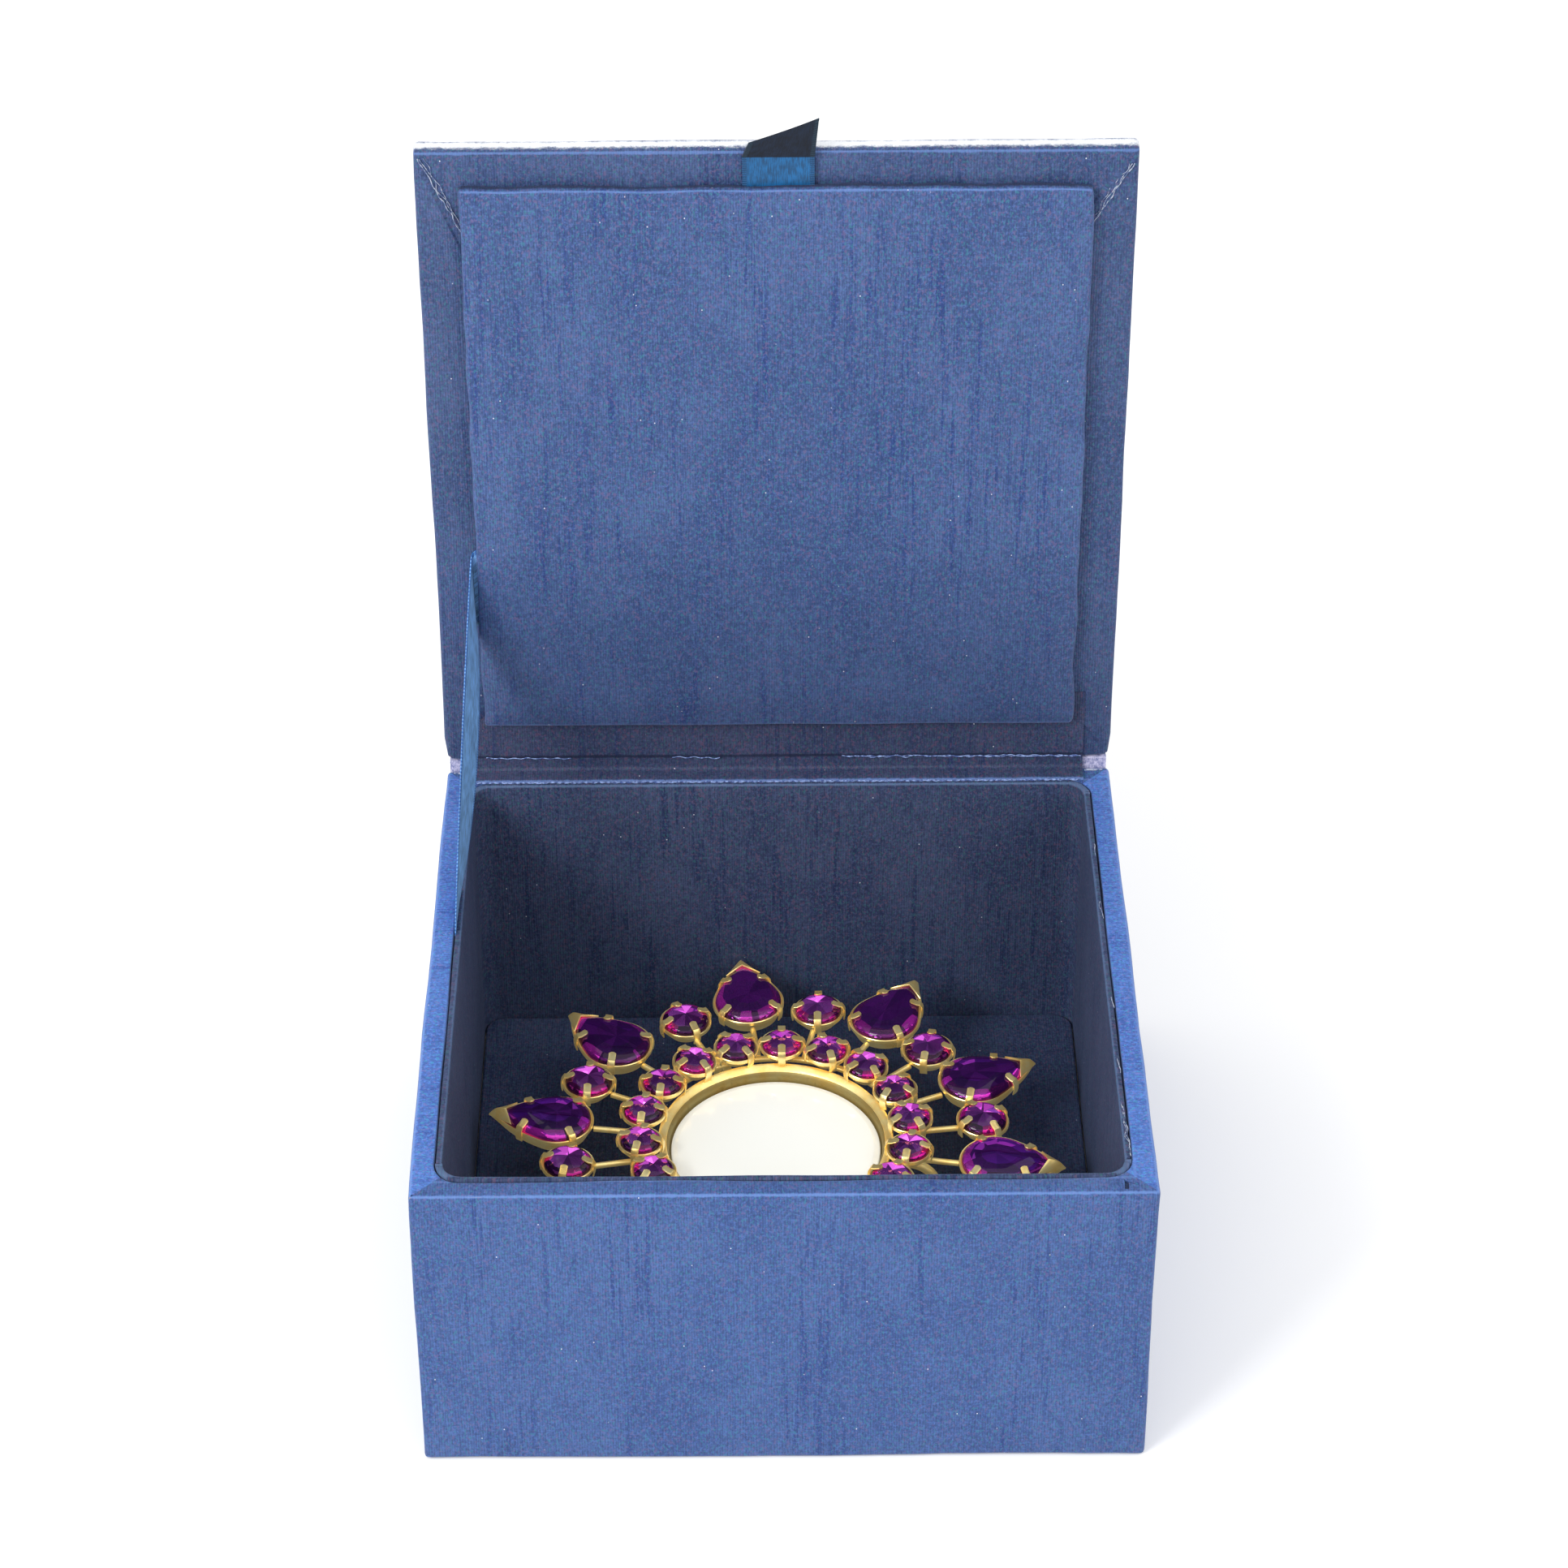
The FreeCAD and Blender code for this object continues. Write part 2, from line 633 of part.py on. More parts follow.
def round_stone(label, radius, dome, foot, rim):
    """A domed stone, tapered below to sit in its cup."""
    low = f"{rim} - setting_depth + gold_sheet + 2 * stone_fit"
    waist = f"{rim} - setting_band + gold_sheet / 2 + 2 * stone_fit"
    crown = [(f"{radius} * {share}", f"{rim} + {dome} * {rise}") for share, rise in CROWN_STEPS]
    return revolved(label, [("0", low), (f"{foot} - gold_sheet", low), (radius, waist)] + crown)


def pear_cup(body, low):
    """A pear-shaped cup with a flat floor."""
    base = new_sketch(body, offset=low)
    pear_outline(base, "pear_cup_radius", "pear_cup_length")
    doc.recompute()
    pad(body, base, "pear_cup")
    doc.recompute()
    before = body.Shape.Volume
    hollow = new_sketch(body, offset=f"{low} + gold_sheet")
    pear_outline(hollow, "pear_cup_radius - gold_sheet", f"pear_cup_length - {POINT_STRETCH} * gold_sheet")
    doc.recompute()
    pocket = body.newObject("PartDesign::Pocket", body.Name + "_hollow")
    pocket.Profile = hollow
    pocket.Reversed = True
    bind(pocket, "Length", "pear_cup - gold_sheet")
    doc.recompute()
    if body.Shape.Volume >= before:
        raise RuntimeError("the pear cup is not hollow")


def pear_cap(body):
    """A post at the cup's point, which carries a flat V-shaped cap over the stone's tip."""
    tip = "pear_cup_length - pear_cup_radius"
    wing = f"pear_cap_length * {CAP_WING_SHARE}"
    root = f"{tip} - {POINT_STRETCH} * (gold_sheet - stone_fit)"
    post_half = f"gold_sheet * {CAP_POST_SHARE}"
    post = new_sketch(body, offset="outer_rim - gold_sheet")
    polygon(post, [(root, f"-({post_half})"), (tip, "0"), (root, post_half)])
    doc.recompute()
    pad(body, post, "pear_cap_rise + gold_sheet")
    doc.recompute()
    roof = new_sketch(body, offset="outer_rim + pear_cap_rise - gold_sheet")
    back = f"{tip} - pear_cap_length"
    polygon(roof, [(tip, "0"), (back, wing), (back, f"-({wing})")])
    doc.recompute()
    pad(body, roof, "gold_sheet")
    doc.recompute()


def pear_setting(label):
    """A pear-shaped cup with a folded cap over its point and two claws at its round end."""
    body = new_body(label)
    pear_cup(body, "outer_rim - pear_cup")
    pear_cap(body)
    for angle in PEAR_PRONG_ANGLES:
        bend_prong(body, angle, "pear_cup_radius", "outer_rim")
    return body


def pear_stone(label):
    """A pear-shaped stone with a straight girdle and a crown that closes in above it."""
    body = new_body(label)
    low = "outer_rim - pear_cup + gold_sheet + 2 * stone_fit"
    girdle = new_sketch(body, offset=low)
    pear_outline(girdle, "pear_stone_radius", "pear_stone_length")
    doc.recompute()
    pad(body, girdle, f"outer_rim - ({low})")
    doc.recompute()
    rim = new_sketch(body, offset="outer_rim")
    pear_outline(rim, "pear_stone_radius", "pear_stone_length")
    table = new_sketch(body, offset="outer_rim + pear_dome")
    table_length = f"pear_stone_length - {POINT_STRETCH} * pear_inset"
    pear_outline(table, "pear_stone_radius - pear_inset", table_length)
    doc.recompute()
    crown = body.newObject("PartDesign::AdditiveLoft", label + "_crown")
    crown.Profile = rim
    crown.Sections = [table]
    crown.Ruled = True
    doc.recompute()
    return body


def stem(label, end):
    """A straight wire from the wire ring out to a setting."""
    wire = doc.addObject("Part::Cylinder", label)
    wire.Placement = FreeCAD.Placement(FreeCAD.Vector(), FreeCAD.Rotation(FreeCAD.Vector(0, 1, 0), 90))
    start = "inner_ring_radius + wire_radius"
    bind(wire, "Radius", "stem_radius")
    bind(wire, "Height", f"{end} - ({start}) - hinge_clear")
    bind(wire, "Placement.Base.x", start)
    bind(wire, "Placement.Base.z", "wire_height")
    return wire


def wire_ring(label):
    ring = doc.addObject("Part::Torus", label)
    bind(ring, "Radius1", "inner_ring_radius")
    bind(ring, "Radius2", "wire_radius")
    bind(ring, "Placement.Base.z", "wire_height")
    return ring


def leg(label):
    """A wire bent to a C, standing on the floor pad and open towards the middle."""
    wire = doc.addObject("Part::Torus", label)
    wire.Angle3 = 180
    turn = FreeCAD.Rotation(FreeCAD.Vector(1, 0, 0), 90) * FreeCAD.Rotation(FreeCAD.Vector(0, 0, 1), -90)
    wire.Placement = FreeCAD.Placement(FreeCAD.Vector(), turn)
    bind(wire, "Radius1", "leg_radius")
    bind(wire, "Radius2", "leg_wire")
    bind(wire, "Placement.Base.x", "inner_ring_radius")
    bind(wire, "Placement.Base.z", "foot_gap + leg_wire + leg_radius")
    return wire


def on_star(label, pattern, angles=(0,), radius="0"):
    """Copies of one piece set round the candle holder's axis, which stands on the floor pad."""
    doc.recompute()
    scale = size("star_scale")
    middle = FreeCAD.Vector(size("star_x"), size("star_y"), size("floor_top"))
    copies = []
    for angle in angles:
        copy = pattern.Shape.copy()
        copy.translate(FreeCAD.Vector(size(radius), 0, 0))
        copy.scale(scale)
        copy.rotate(FreeCAD.Vector(), FreeCAD.Vector(0, 0, 1), angle)
        copies += copy.Solids
    group = doc.addObject("Part::Feature", label)
    group.Shape = Part.makeCompound(copies)
    group.Placement = FreeCAD.Placement(middle, FreeCAD.Rotation())
    return keep(group)


def pan_and_disc():
    """A thin pan with a flared lip, and the bevelled disc that lies in it."""
    wall = "disc_radius + disc_fit"
    disc_low = "disc_top - disc_height"
    on_star("ring_pan", revolved("pan_pattern", [
        ("0", f"{disc_low} - pan_sheet"), (f"{wall} + pan_sheet", f"{disc_low} - pan_sheet"),
        (f"{wall} + pan_sheet", "disc_top"), ("lip_radius", "lip_top"),
        ("lip_radius - pan_sheet", "lip_top"), (wall, "disc_top + stone_fit"),
        (wall, disc_low), ("0", disc_low),
    ]))
    on_star("glass_disc", revolved("disc_pattern", [
        ("0", disc_low), ("disc_radius", disc_low), ("disc_radius", "disc_top - disc_bevel"),
        ("disc_radius - disc_bevel", "disc_top"), ("0", "disc_top"),
    ]))


def inner_angles():
    """As many small stones as go round the ring, evenly spaced."""
    reach = size("inner_cup_radius") + size("inner_spacing") / 2
    count = int(math.pi / math.asin(reach / size("inner_ring_radius")))
    return [INNER_START + index * 360 / count for index in range(count)]


def round_stones(kind, foot, rim, angles):
    """The cups of one ring of round stones, and the stones in them."""
    cup = round_setting(f"{kind}_cup_pattern", f"{kind}_cup_radius", foot, rim)
    on_star(f"{kind}_settings", cup, angles, f"{kind}_ring_radius")
    gem = round_stone(f"{kind}_gem_pattern", f"{kind}_stone_radius", f"{kind}_dome", foot, rim)
    on_star(f"{kind}_stones", gem, angles, f"{kind}_ring_radius")


def candle_holder():
    """A disc in a dished ring, small stones round it, and pears and rounds on stems by turns."""
    doc.recompute()
    pan_and_disc()
    on_star("wire_ring", wire_ring("wire_ring_pattern"))
    on_star("wire_legs", leg("leg_pattern"), LEG_ANGLES)
    round_stones("inner", "inner_foot", "inner_rim", inner_angles())
    round_stones("round", "round_foot", "outer_rim", ROUND_ANGLES)
    on_star("pear_settings", pear_setting("pear_cup_pattern"), PEAR_ANGLES, "pear_ring_radius")
    on_star("pear_stones", pear_stone("pear_gem_pattern"), PEAR_ANGLES, "pear_ring_radius")
    on_star("round_stems", stem("round_stem_pattern", "round_ring_radius - stem_meets"), ROUND_ANGLES)
    on_star("pear_stems", stem("pear_stem_pattern", "pear_ring_radius - pear_cup_radius"), PEAR_ANGLES)


# --- checks and files --------------------------------------------------------------------------

def check_and_write():
    """Refuse a failed feature or a bad shape, then write each node's file."""
    doc.recompute()
    for thing in doc.Objects:
        if "Invalid" in thing.State or "Error" in thing.State:
            raise RuntimeError(f"{thing.Label} did not build: {thing.State}")
    for node in nodes:
        if node.Shape.isNull() or not node.Shape.isValid() or not node.Shape.Solids:
            raise RuntimeError(f"{node.Label} has no valid solid")
    os.makedirs("parts", exist_ok=True)
    for node in nodes:
        node.Shape.exportStep(f"parts/{node.Label}.step")
        print(node.Label, len(node.Shape.Solids), round(node.Shape.Volume, 1))


fill_sheet()
tray_boards()
corner_stays()
tray_cover()
underside_lining()
side_liners()
end_liners()
floor_pad()
lid_shell()
lid_panel()
pull_ribbon()
hinge_lining()
spine()
stay_ribbon()
candle_holder()
check_and_write()
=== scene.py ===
import json
import math

import bmesh
import bpy
from mathutils import Matrix, Vector, noise


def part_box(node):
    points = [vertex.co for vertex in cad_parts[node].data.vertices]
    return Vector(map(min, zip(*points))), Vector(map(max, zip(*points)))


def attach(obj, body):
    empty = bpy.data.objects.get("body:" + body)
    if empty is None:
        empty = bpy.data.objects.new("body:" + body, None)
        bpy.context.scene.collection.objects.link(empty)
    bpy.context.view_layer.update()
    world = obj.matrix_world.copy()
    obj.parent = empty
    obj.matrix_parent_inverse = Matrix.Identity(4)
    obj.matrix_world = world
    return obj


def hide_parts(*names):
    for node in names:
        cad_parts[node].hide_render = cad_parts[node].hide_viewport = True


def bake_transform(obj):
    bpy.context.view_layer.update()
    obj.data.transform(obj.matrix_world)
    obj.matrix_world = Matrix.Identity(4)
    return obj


# A silk-covered gift box, standing open, with a jewelled candle holder in it. Sizes are in
# millimetres until they are scaled by MM. Pieces of the lid are made lying flat, in the lid's own
# frame: X to the right, Y up the lid from its hinged edge, Z out of its inner face.

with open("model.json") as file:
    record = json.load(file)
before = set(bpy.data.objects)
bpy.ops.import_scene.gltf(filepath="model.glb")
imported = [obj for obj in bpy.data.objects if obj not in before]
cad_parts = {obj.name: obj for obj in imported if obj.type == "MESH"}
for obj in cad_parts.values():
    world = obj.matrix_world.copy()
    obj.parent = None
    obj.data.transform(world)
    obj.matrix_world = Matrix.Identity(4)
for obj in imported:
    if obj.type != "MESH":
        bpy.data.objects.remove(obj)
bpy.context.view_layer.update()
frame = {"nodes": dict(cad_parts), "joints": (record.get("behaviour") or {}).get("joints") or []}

MM = 0.001


def corners(node):
    """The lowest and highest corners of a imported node, in millimetres."""
    low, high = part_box(node)
    return low / MM, high / MM


HALF_X, HALF_Y, RIM_Z = corners("tray_cover_cloth")[1]
FLOOR_TOP = corners("floor_pad_cloth")[1].z
BOARD_LOW = corners("floor_pad_card")[0].z
MOUTH_X = -corners("left_liner_cloth")[1].x
MOUTH_Y = corners("rear_liner_cloth")[0].y
CLOTH = 0.35
RIM_WIDTH = 3.95
TURN_IN = 15.0
UNDERSIDE_MARGIN = 12.0
CORNER_BEND = 3.5
CREASE = 0.22
LINER_THICK = 1.35
COVER_PITCH = 5
LINING_PITCH = 6
WALL_BOARDS = ["front_wall_board", "rear_wall_board", "left_wall_board", "right_wall_board"]

LID_X = corners("lid_cover_cloth")[1].x
LID_LENGTH = 126.9
LID_THICK = 4.2
REAR_OVERHANG = 3.4
LID_CORNER = 2.2
MITRE_INNER_X = 54.5
MITRE_FROM_X = 46
MITRE_REACH, LAP_REACH = 26, 22
HINGE_LINING_HALF = 57.4
HINGE = Vector(frame["joints"][0]["pos_m"]) / MM
OPEN_ANGLE = math.radians(frame["joints"][0]["range_deg"][1])
HINGE_REACH = HINGE.y - HALF_Y
EDGE_Y, EDGE_Z = REAR_OVERHANG - HINGE_REACH, -HINGE_REACH
LID_FOOT = Vector((
    0.0,
    HINGE.y + EDGE_Y * math.cos(OPEN_ANGLE) + EDGE_Z * math.sin(OPEN_ANGLE),
    HINGE.z - EDGE_Y * math.sin(OPEN_ANGLE) + EDGE_Z * math.cos(OPEN_ANGLE),
))

PANEL_X = 55.0
PANEL_LOW, PANEL_HIGH = 9.3, 120.4
PANEL_LIFT, PANEL_TOP = 0.5, 2.5

STAR = (corners("glass_disc")[0] + corners("glass_disc")[1]) / 2
DISC_TOP = corners("glass_disc")[1].z


# --- working by hand ---------------------------------------------------------------------------

def only(piece):
    """Select one piece and nothing else."""
    bpy.ops.object.select_all(action="DESELECT")
    if piece:
        piece.select_set(True)
        bpy.context.view_layer.objects.active = piece


def settle(name):
    """Name the piece just added, and put its place and size into its mesh."""
    piece = bpy.context.active_object
    piece.name = name
    piece.data.name = name
    only(piece)
    bpy.ops.object.transform_apply(location=True, rotation=True, scale=True)
    return piece


def block(name, low, high):
    low, high = Vector(low) * MM, Vector(high) * MM
    only(None)
    bpy.ops.mesh.primitive_cube_add(size=1, location=(low + high) / 2, scale=high - low)
    return settle(name)


def flat_strip(name, low, high):
    """A flat rectangle between two corners, facing up."""
    low, high = Vector((*low, 0)) * MM, Vector((*high, 0)) * MM
    only(None)
    bpy.ops.mesh.primitive_plane_add(size=1, location=(low + high) / 2)
    bpy.context.active_object.scale = (*(high - low).xy, 1)
    return settle(name)


class shaping:
    """Edit mode on one piece, whose parts are picked by tests of their places in millimetres."""

    def __init__(self, piece):
        self.piece = piece

    def __enter__(self):
        only(self.piece)
        bpy.ops.object.mode_set(mode="EDIT")
        return self

    def __exit__(self, *problem):
        bpy.ops.object.mode_set(mode="OBJECT")

    def _pick(self, kind, parts, passes):
        bpy.ops.mesh.select_mode(type=kind)
        bpy.ops.mesh.select_all(action="DESELECT")
        mesh = bmesh.from_edit_mesh(self.piece.data)
        for part in getattr(mesh, parts):
            if passes(part):
                part.select_set(True)
        bmesh.update_edit_mesh(self.piece.data)

    def faces(self, test):
        self._pick("FACE", "faces", lambda f: test(f.calc_center_median() / MM, f.normal))

    def edges(self, test):
        self._pick("EDGE", "edges", lambda e: test(e.verts[0].co / MM, e.verts[1].co / MM))

    def verts(self, test):
        self._pick("VERT", "verts", lambda v: test(v.co / MM))

    def everything(self):
        bpy.ops.mesh.select_mode(type="FACE")
        bpy.ops.mesh.select_all(action="SELECT")

    def extrude(self, x=0.0, y=0.0, z=0.0):
        bpy.ops.mesh.extrude_region_move(TRANSFORM_OT_translate={"value": Vector((x, y, z)) * MM})

    def move(self, x=0.0, y=0.0, z=0.0):
        bpy.ops.transform.translate(value=Vector((x, y, z)) * MM)

    def inset(self, width):
        bpy.ops.mesh.inset(thickness=width * MM, depth=0, use_even_offset=True)

    def bevel(self, width, segments=3):
        bpy.ops.mesh.bevel(offset=width * MM, segments=segments, affect="EDGES", profile=0.5)

    def remove(self, kind="FACE"):
        bpy.ops.mesh.delete(type=kind)

    def cut(self, place, normal):
        """Cut what is selected along a plane, and leave both sides selected."""
        bpy.ops.mesh.bisect(plane_co=Vector(place) * MM, plane_no=normal, threshold=1e-7)

    def slice_all(self, axis, low, high, pitch):
        """Cut the whole piece across one axis, at about even steps."""
        steps = max(1, round((high - low) / pitch))
        normal = Vector((0, 0, 0))
        normal[axis] = 1
        for step in range(1, steps):
            place = Vector((0, 0, 0))
            place[axis] = low + (high - low) * step / steps
            self.everything()
            self.cut(place, normal)

    def tidy(self):
        self.everything()
        bpy.ops.mesh.remove_doubles(threshold=1e-6)
        bpy.ops.mesh.normals_make_consistent(inside=False)

    def face_out(self):
        self.everything()
        bpy.ops.mesh.normals_make_consistent(inside=False)

    def close_up(self, threshold=1e-6):
        """Weld the points that meet, fill what is open and face it all outward."""
        self.everything()
        bpy.ops.mesh.remove_doubles(threshold=threshold)
        bpy.ops.mesh.fill_holes(sides=0)
        self.face_out()


def modify(piece, kind, **settings):
    """Add a modifier, set it and apply it."""
    only(piece)
    modifier = piece.modifiers.new(kind.lower(), kind)
    for word, value in settings.items():
        setattr(modifier, word, value)
    bpy.ops.object.modifier_apply(modifier=modifier.name)
    return piece


def thicken(piece, thickness=CLOTH, offset=-1.0, **settings):
    """Give a sheet its thickness, behind its face unless told otherwise."""
    return modify(piece, "SOLIDIFY", thickness=thickness * MM, offset=offset, **settings)


def round_corners(piece, radius):
    """Round the lid's two corners at the hinge: squares about each corner's middle turn to circles."""
    for vert in piece.data.vertices:
        side = math.copysign(1, vert.co.x)
        middle = Vector((side * (LID_X - radius), radius)) * MM
        away = vert.co.xy - middle
        if away.x * side > 0 > away.y:
            vert.co.xy = middle + away.normalized() * max(abs(away.x), abs(away.y))


def smooth(piece, angle=40):
    only(piece)
    bpy.ops.object.shade_smooth_by_angle(angle=math.radians(angle))
    return piece


def ripple(piece, amount, spread, seed, along=None):
    """Move a cloth's points in and out a little, in slow waves."""
    shift = Vector((seed * 17.3, seed * 5.1, seed * 9.7))
    for vert in piece.data.vertices:
        wave = noise.noise(vert.co / MM / spread + shift)
        vert.co += (along or vert.normal) * (wave * amount * MM)
    piece.data.update()


def lay_grain(piece, rule):
    """Lay the cloth's grain over a piece, in millimetres: u across the ribs and v along them."""
    grain = piece.data.uv_layers.new(name="grain")
    for face in piece.data.polygons:
        middle = face.center / MM
        for corner in face.loop_indices:
            place = piece.data.vertices[piece.data.loops[corner].vertex_index].co / MM
            grain.data[corner].uv = rule(place, middle, face.normal)


def copy_at(pattern, name, matrix):
    """A copy of a finished pattern with its own mesh, put in place in the mesh."""
    made = pattern.copy()
    made.data = pattern.data.copy()
    made.name = name
    bpy.context.scene.collection.objects.link(made)
    made.data.transform(matrix)
    return made


def join(name, parts):
    only(parts[0])
    for part in parts[1:]:
        part.select_set(True)
    bpy.ops.object.join()
    whole = bpy.context.active_object
    whole.name = name
    whole.data.name = name
    return whole


def discard(piece):
    bpy.data.objects.remove(piece)


def stand_on_lid(piece):
    """Turn a piece made in the lid's flat frame up into the open lid's place."""
    piece.location = LID_FOOT * MM
    piece.rotation_euler = (math.pi - OPEN_ANGLE, 0, 0)
    only(piece)
    bpy.ops.object.transform_apply(location=True, rotation=True, scale=True)
    return piece


def turned(name, profile, sides, centre=(0, 0, 0), outline=None):
    """A closed shape drawn out from a circle, or from an outline, along a profile of radius and height."""
    radius, height = profile[0]
    middle = Vector(centre)
    only(None)
    place = (middle + Vector((0, 0, height))) * MM
    bpy.ops.mesh.primitive_circle_add(vertices=sides, radius=radius * MM, fill_type="NOTHING",
                                      location=place)
    piece = settle(name)
    for vert in piece.data.vertices if outline else ():
        share = outline(math.atan2(vert.co.y, vert.co.x)) / (profile[0][0] * MM)
        vert.co.x *= share
        vert.co.y *= share
    with shaping(piece) as work:
        bpy.ops.mesh.select_mode(type="EDGE")
        bpy.ops.mesh.select_all(action="SELECT")
        for next_radius, next_height in profile[1:]:
            bpy.ops.mesh.extrude_edges_move(
                TRANSFORM_OT_translate={"value": Vector((0, 0, next_height - height)) * MM})
            share = max(next_radius, 1e-4) / radius
            bpy.ops.transform.resize(value=(share, share, 1),
                                     center_override=(middle + Vector((0, 0, next_height))) * MM)
            radius, height = max(next_radius, 1e-4), next_height
        work.close_up(2e-6)
    return piece


def islands(node):
    """The separate solids of a packed group node, each as a list of its points in millimetres."""
    mesh = bmesh.new()
    mesh.from_mesh(frame["nodes"][node].data)
    bmesh.ops.remove_doubles(mesh, verts=mesh.verts, dist=1e-6)
    waiting = set(mesh.verts)
    found = []
    while waiting:
        reached = [waiting.pop()]
        for vert in reached:
            near = {edge.other_vert(vert) for edge in vert.link_edges} & waiting
            waiting -= near
            reached += near
        found.append([vert.co / MM for vert in reached])
    mesh.free()
    return found


# --- finishes ----------------------------------------------------------------------------------

class Value:
    """A number that varies over a surface, for Python's operators to work on."""

    def __init__(self, finish, socket):
        self.finish = finish
        self.socket = socket

    def _math(self, operation, *terms):
        return self.finish.node("Math", {"operation": operation}, dict(enumerate(terms)))

    def __add__(self, other):
        return self._math("ADD", self, other)

    def __sub__(self, other):
        return self._math("SUBTRACT", self, other)

    def __rsub__(self, other):
        return self._math("SUBTRACT", other, self)

    def __mul__(self, other):
        return self._math("MULTIPLY", self, other)

    def __truediv__(self, other):
        return self._math("DIVIDE", self, other)

    __radd__ = __add__
    __rmul__ = __mul__

    def sine(self):
        return self._math("SINE", self)

    def cosine(self):
        return self._math("COSINE", self)

    def size(self):
        return self._math("ABSOLUTE", self)

    def floor(self):
        return self._math("FLOOR", self)

    def power(self, other):
        return self._math("POWER", self, other)

    def most(self, other):
        return self._math("MAXIMUM", self, other)

    def least(self, other):
        return self._math("MINIMUM", self, other)

    def rise(self, low, high):
        """0 up to low, 1 past high, and a smooth step between; low may be the greater."""
        return self.finish.node("MapRange", {"interpolation_type": "SMOOTHSTEP"},
                                {"Value": self, "From Min": low, "From Max": high})


class Finish:
    """A material in the making: one Principled shader, and the nodes that drive it."""

    def __init__(self, name, **constants):
        self.material = bpy.data.materials.new(name)
        self.material.use_nodes = True
        self.tree = self.material.node_tree
        self.tree.nodes.clear()
        self.shader = self.tree.nodes.new("ShaderNodeBsdfPrincipled")
        output = self.tree.nodes.new("ShaderNodeOutputMaterial")
        self.tree.links.new(self.shader.outputs[0], output.inputs[0])
        self.set(**constants)

    def set(self, **sockets):
        """Set or drive the shader's own sockets, named with _ for each space."""
        for word, value in sockets.items():
            self.feed(self.shader.inputs[word.replace("_", " ")], value)

    def feed(self, socket, value):
        if isinstance(value, Value):
            self.tree.links.new(value.socket, socket)
        elif socket.type == "RGBA":
            socket.default_value = (*value[:3], 1.0)
        else:
            socket.default_value = value

    def node(self, kind, settings=None, values=None, out=0):
        made = self.tree.nodes.new("ShaderNode" + kind)
        for word, choice in (settings or {}).items():
            setattr(made, word, choice)
        for socket, value in (values or {}).items():
            self.feed(made.inputs[socket], value)
        return Value(self, made.outputs[out])

    def mix(self, share, one, other, blend="MIX"):
        return self.node("Mix", {"data_type": "RGBA", "blend_type": blend},
                         {0: share, 6: one, 7: other}, out=2)

    def part(self, vector, axis):
        made = self.node("SeparateXYZ", None, {0: vector})
        return Value(self, made.socket.node.outputs[axis])

    def place(self):
        """Where a point is on the object, in millimetres."""
        spot = self.node("TexCoord")
        return self.scaled(Value(self, spot.socket.node.outputs["Object"]), 1 / MM, 1 / MM, 1 / MM)

    def grain(self):
        return self.node("UVMap", {"uv_map": "grain"})

    def scaled(self, vector, x, y, z=1.0):
        return self.node("Mapping", None, {"Vector": vector, "Scale": (x, y, z)})

    def clouds(self, vector, scale, detail=2.0, roughness=0.5, shift=0.0):
        """Soft noise of about 0 to 1; shift gives another pattern from the same place."""
        moved = self.node("Mapping", None, {
            "Vector": self.scaled(vector, *scale), "Location": (shift, shift * 1.7, shift * 0.6)})
        return self.node("TexNoise", None,
                         {"Vector": moved, "Scale": 1.0, "Detail": detail, "Roughness": roughness})

    def bump(self, height, distance, strength=1.0):
        """Tilt the surface by a height of 0 to 1, which stands for a distance in millimetres."""
        self.set(Normal=self.node("Bump", None, {
            "Strength": strength, "Distance": distance * MM, "Height": height}))


